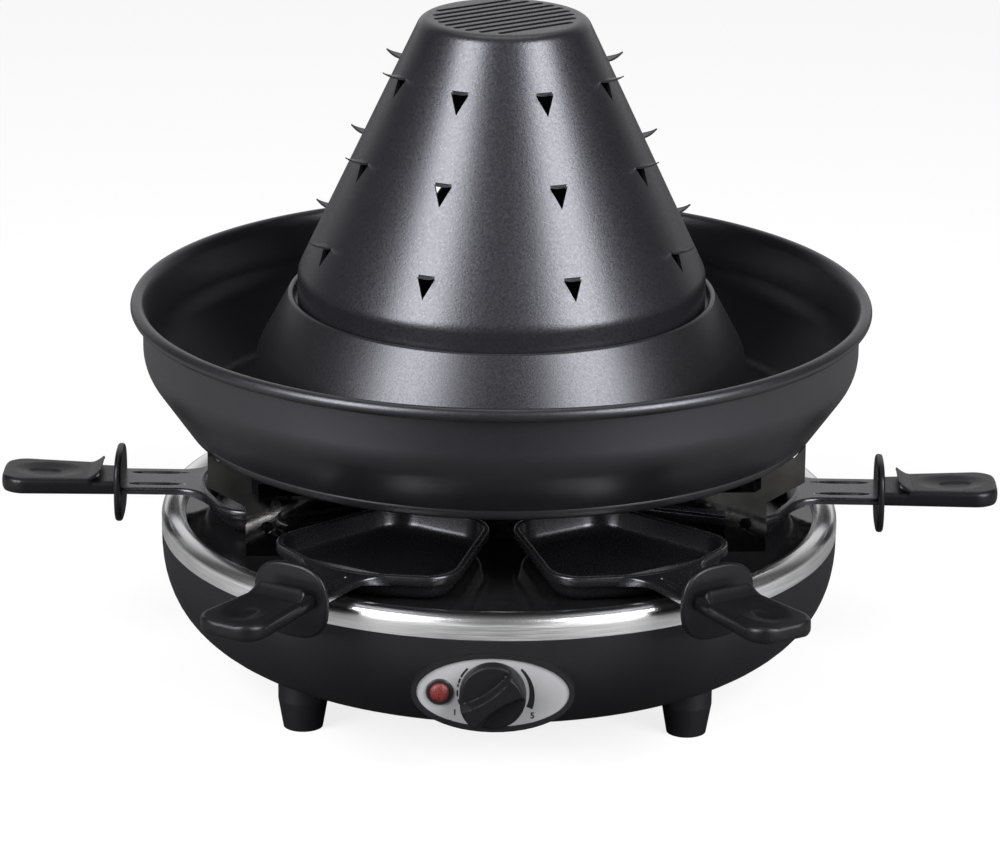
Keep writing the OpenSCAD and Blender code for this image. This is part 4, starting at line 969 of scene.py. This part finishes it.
# Hat: a cone pressed from sheet, with rows of triangles punched round it and bent out as hooks.
# Its flat top has pressed slots; the coat is a dark anthracite non-stick with a marked orange peel.
HAT_Z, HAT_H, HAT_R, HAT_TOP_R, HAT_WALL, SKIRT = 187.3, 140.7, 99.0, 40.0, 1.6, 15.0
HOOK_ROWS, HOOKS, HOOK_Z, HOOK_PITCH = 3, 8, 34.7, 40.0
HOOK_W, HOOK_L, HOOK_SHEET, HOOK_CURL, HOOK_ROOT = 9.0, 10.5, 1.0, 15.0, 0.3
SLOTS, SLOT_PITCH, SLOT_W, SLOT_DEPTH, SLOT_REACH = 9, 6.6, 3.5, 1.1, 34.0
SLOT_TURN = radians(35)
hat_top = HAT_Z + HAT_H
hat_slope = atan2(HAT_R - HAT_TOP_R, HAT_H - SKIRT)
hat_line = (
    [(HAT_R, HAT_Z + k * 1.5) for k in range(8)]
    + rounded((HAT_R, HAT_Z), (HAT_R, HAT_Z + SKIRT), (HAT_TOP_R, hat_top), 12, 8))
cone_from, cone_to = hat_line[-1], rounded((HAT_R, HAT_Z + SKIRT), (HAT_TOP_R, hat_top), (0, hat_top), 6, 8)
for share in [k / 44 for k in range(1, 44)]:
    hat_line.append(tuple(a + (b - a) * share for a, b in zip(cone_from, cone_to[0])))
hat_line += cone_to + [(cone_to[-1][0] * (1 - k / 8), hat_top) for k in range(1, 8)] + [(0.0, hat_top)]
inner_line = []
for i, (r, z) in enumerate(hat_line):
    out, up = offset(hat_line, i, HAT_WALL)
    inner_line.append((max(0.0, r - out), z - up))
hat_coat = nonstick("hat_nonstick", (0.0078, 0.0078, 0.0098, 1), (0.0125, 0.0125, 0.0152, 1),
                    (0.27, 0.38), 900.0, (0.5, 0.0001))
tree = hat_coat.node_tree
level = parts_of(tree, piece_place(tree))
from_axis = wired(tree, "ShaderNodeVectorMath", Vector=vector_of(tree, X=level["X"], Y=level["Y"]))
from_axis.operation = "LENGTH"
# Inside the pressed top slots the gloss drops from 0.75 to 0.12: painted shade on the slot floors.
below = counted(tree, "LESS_THAN", level["Z"], (hat_top - SLOT_DEPTH * 0.06) * MM)
near_axis = counted(tree, "LESS_THAN", from_axis.outputs["Value"], (SLOT_REACH + 0.6) * MM)
slot_painted_shade = counted(tree, "MULTIPLY", below, near_axis)
filled(tree, tree.nodes["Principled BSDF"], Specular_IOR_Level=remap(tree, slot_painted_shade, 0.75, 0.12, 0.0, 1.0))

droop, lift = radians(28), radians(12)
curl_out, curl_up = polar(HOOK_CURL, droop)[::-1]
hook_path = [(-HAT_WALL / 2, HOOK_ROOT + HAT_WALL / 2 * tan(droop))]
hook_path += arc(curl_out, HOOK_ROOT + curl_up, HOOK_CURL, -90 - degrees(droop), -90 + degrees(lift))
hook_loops = []
for out, up in hook_path:
    half = max(0.35, HOOK_W / 2 * (1 - out / HOOK_L) * 0.92)
    thick = HOOK_SHEET * (0.45 + 0.55 * min(1.0, half / 2.2))
    hook_loops.append([(-half, up, out), (half, up, out), (half, up + thick, out), (-half, up + thick, out)])
hook_piece = in_scene("hook_blank", plain_mesh("hook", *skinned(hook_loops)))

slot_parts = []
for k in range(SLOTS):
    y = (k - (SLOTS - 1) / 2) * SLOT_PITCH
    reach = sqrt(SLOT_REACH ** 2 - y * y) - SLOT_W / 2
    rim = arc(reach, y, SLOT_W / 2, -90, 90, 10) + arc(-reach, y, SLOT_W / 2, 90, 270, 10)
    rim = [turned(p, q, SLOT_TURN) for p, q in rim]
    slot_parts.append(skinned([[(p, q, z) for p, q in rim] for z in (hat_top - SLOT_DEPTH, hat_top + 1)]))
slot_piece = in_scene("slot_blank", welded(plain_mesh("slots", *joined(*slot_parts))))

hat_tree, hat_in, hat_out = node_tree("punched_hat", {
    "Rows": ("Int", HOOK_ROWS),
    "Hooks per row": ("Int", HOOKS),
    "First row": ("Float", HOOK_Z * MM),
    "Row pitch": ("Float", HOOK_PITCH * MM),
    "Base radius": ("Float", HAT_R * MM),
    "Base height": ("Float", HAT_Z * MM),
    "Skirt": ("Float", SKIRT * MM),
    "Slope": ("Float", hat_slope),
    "Hole width": ("Float", HOOK_W * MM),
    "Hole length": ("Float", HOOK_L * MM),
    "Hook": ("Object", None),
    "Top slots": ("Object", None),
    "Coat": ("Material", None)})


def reckoned(operation, first, second=0.5):
    """Operation on two values of the hat's tree."""
    return counted(hat_tree, operation, first, second)


hook_count = reckoned("MULTIPLY", hat_in["Rows"], hat_in["Hooks per row"])
hook_points = wired(hat_tree, "GeometryNodePoints", Count=hook_count)
hook_index = hat_tree.nodes.new("GeometryNodeInputIndex").outputs["Index"]
hook_row = reckoned("FLOOR", reckoned("DIVIDE", hook_index, hat_in["Hooks per row"]))
hook_step = reckoned("MODULO", hook_index, hat_in["Hooks per row"])
hook_share = reckoned("DIVIDE", reckoned("ADD", hook_step, 0.5), hat_in["Hooks per row"])
hook_turn = reckoned("ADD", reckoned("MULTIPLY", hook_share, 2 * pi), pi / 2)
hook_up = reckoned("ADD", reckoned("MULTIPLY", hook_row, hat_in["Row pitch"]), hat_in["First row"])
hook_above = reckoned("SUBTRACT", hook_up, hat_in["Skirt"])
hook_in = reckoned("MULTIPLY", hook_above, reckoned("TANGENT", hat_in["Slope"]))
hook_reach = reckoned("SUBTRACT", hat_in["Base radius"], hook_in)
filled(hat_tree, hook_points, Position=vector_of(
    hat_tree, X=reckoned("MULTIPLY", hook_reach, reckoned("COSINE", hook_turn)),
    Y=reckoned("MULTIPLY", hook_reach, reckoned("SINE", hook_turn)),
    Z=reckoned("ADD", hook_up, hat_in["Base height"])))
hook_lean = vector_of(hat_tree, X=reckoned("SUBTRACT", pi / 2, hat_in["Slope"]),
                      Z=reckoned("ADD", hook_turn, pi / 2))
hole_blank = wired(hat_tree, "GeometryNodeMeshCylinder", Vertices=3, Radius=MM, Depth=8 * MM)
hole_shape = moved(
    hat_tree, hole_blank.outputs["Mesh"], Rotation=(0, 0, -pi / 2),
    Translation=vector_of(hat_tree, Y=reckoned("DIVIDE", hat_in["Hole length"], -3.0)),
    Scale=vector_of(hat_tree, X=reckoned("DIVIDE", hat_in["Hole length"], 1.5 * MM),
                    Y=reckoned("DIVIDE", hat_in["Hole width"], sqrt(3) * MM), Z=1.0))
holes = repeated(hat_tree, hook_points.outputs["Points"], hole_shape, Rotation=hook_lean)
hole_solids = wired(hat_tree, "GeometryNodeRealizeInstances", Geometry=holes)
slot_shape = wired(hat_tree, "GeometryNodeObjectInfo", Object=hat_in["Top slots"])
punched = cut(hat_tree, hat_in["Geometry"], hole_solids.outputs["Geometry"], slot_shape.outputs["Geometry"])
punched.solver = "EXACT"
hook_shape = wired(hat_tree, "GeometryNodeObjectInfo", Object=hat_in["Hook"])
hooks_out = repeated(hat_tree, hook_points.outputs["Points"], hook_shape.outputs["Geometry"],
                     Rotation=hook_lean)
hat_all = gathered(hat_tree, "GeometryNodeJoinGeometry", "Geometry", punched.outputs["Mesh"], hooks_out)
closed_tree(hat_tree, hat_out, hat_all.outputs["Geometry"], hat_in["Coat"])
hat_start = welded(plain_mesh("hat_shell", *lathe(hat_line + inner_line[::-1], 240)))
hat = grown("hat_cone", hat_start, hat_tree, {"Hook": hook_piece, "Top slots": slot_piece, "Coat": hat_coat},
            hat_coat, 35)
bpy.data.objects.remove(hook_piece)
bpy.data.objects.remove(slot_piece)
stands_for(hat, "nonstick_hat", "hat")

# Stage: a pale floor and a white backdrop, with two tall softboxes left and right of the camera.
# The camera stands where the photograph was taken from.
FLOOR_HALF = 6.0
floor_mesh = bpy.data.meshes.new("floor")
floor_mesh.from_pydata([(x * FLOOR_HALF, y * FLOOR_HALF, 0) for x, y in SIDES], [], [(0, 1, 2, 3)])
floor = in_scene("floor", floor_mesh)
floor_white, tree, shader = blank_material("floor_white")
paper = placed(tree, moulded_grain, Grain_scale=300.0, Cloud_scale=2.0)


def seen_plainly(tree):
    """Rays by kind, and a mask of those that come straight from the camera or through glass."""
    rays = tree.nodes.new("ShaderNodeLightPath").outputs
    return rays, counted(tree, "MAXIMUM", rays["Is Camera Ray"], rays["Is Transmission Ray"])


rays, seen = seen_plainly(tree)
# For every ray but camera rays the floor is painted darker, darkest near the middle: painted shade that the
# housing, pans and metal reflect.
across = counted(tree, "ABSOLUTE", parts_of(tree, piece_place(tree))["X"])
shade = wired(tree, "ShaderNodeVectorMath",
              Vector=tinted(tree, paper["Tone"], (0.90, 0.90, 0.90, 1), (0.93, 0.93, 0.93, 1)))
shade.operation = "SCALE"
filled(tree, shade, Scale=counted(tree, "MAXIMUM", seen, remap(tree, across, 0.05, 0.45, 0.10, 0.7)))
filled(tree, shader, Base_Color=shade.outputs["Vector"], Roughness=0.7)
glow = wired(tree, "ShaderNodeEmission", Strength=1.06)
blend = wired(tree, "ShaderNodeMixShader", Fac=counted(tree, "MULTIPLY", seen, 0.78))
tree.links.new(shader.outputs["BSDF"], blend.inputs[1])
tree.links.new(glow.outputs["Emission"], blend.inputs[2])
filled(tree, tree.nodes["Material Output"], Surface=blend.outputs["Shader"])
floor_mesh.materials.append(floor_white)

world = bpy.data.worlds.new("studio")
bpy.context.scene.world = world
world.use_nodes = True
tree = world.node_tree
way = parts_of(tree, tree.nodes.new("ShaderNodeTexCoord").outputs["Generated"])
rays, seen = seen_plainly(tree)
shine = counted(tree, "MULTIPLY", rays["Is Glossy Ray"], remap(tree, way["Y"], 0.04, 0.8, 0.5, 0.95))
level = counted(tree, "MAXIMUM", counted(tree, "MAXIMUM", seen, shine),
                counted(tree, "MULTIPLY", rays["Is Diffuse Ray"], 0.14))
filled(tree, tree.nodes["Background"], Strength=level, Color=(1, 1, 1, 1))


def softbox(name, place, target, width, height, power):
    """Rectangular lamp that looks at a point."""
    data = bpy.data.lights.new(name, "AREA")
    data.shape = "RECTANGLE"
    data.size, data.size_y, data.energy = width, height, power
    lamp = in_scene(name, data)
    lamp.location = place
    lamp.rotation_euler = (Vector(target) - Vector(place)).to_track_quat("-Z", "Y").to_euler()


softbox("softbox_left", (-1.10, -1.03, 0.95), (0, 0, 0.2), 0.80, 1.3, 43)
softbox("softbox_right", (1.12, -1.00, 0.95), (0, 0, 0.2), 0.80, 1.3, 43)
softbox("softbox_top", (0, 0.5, 1.9), (0, 0, 0.1), 1.2, 0.9, 5)

CAMERA_PLACE = (0.0, -2.3, 0.8868)
CAMERA_PITCH, CAMERA_ROLL, CAMERA_YAW, CAMERA_LENS = 0.322186, 0.0107, radians(0.7), 177.97
camera_data = bpy.data.cameras.new("camera")
camera_data.sensor_width = 36
camera_data.lens = CAMERA_LENS
camera = in_scene("camera", camera_data)
camera.matrix_world = (Matrix.Rotation(CAMERA_YAW, 4, "Z") @ Matrix.Translation(CAMERA_PLACE)
                       @ Matrix.Rotation(pi / 2 - CAMERA_PITCH, 4, "X") @ Matrix.Rotation(CAMERA_ROLL, 4, "Z"))
bpy.context.scene.camera = camera
bpy.context.scene.view_settings.view_transform = "Standard"
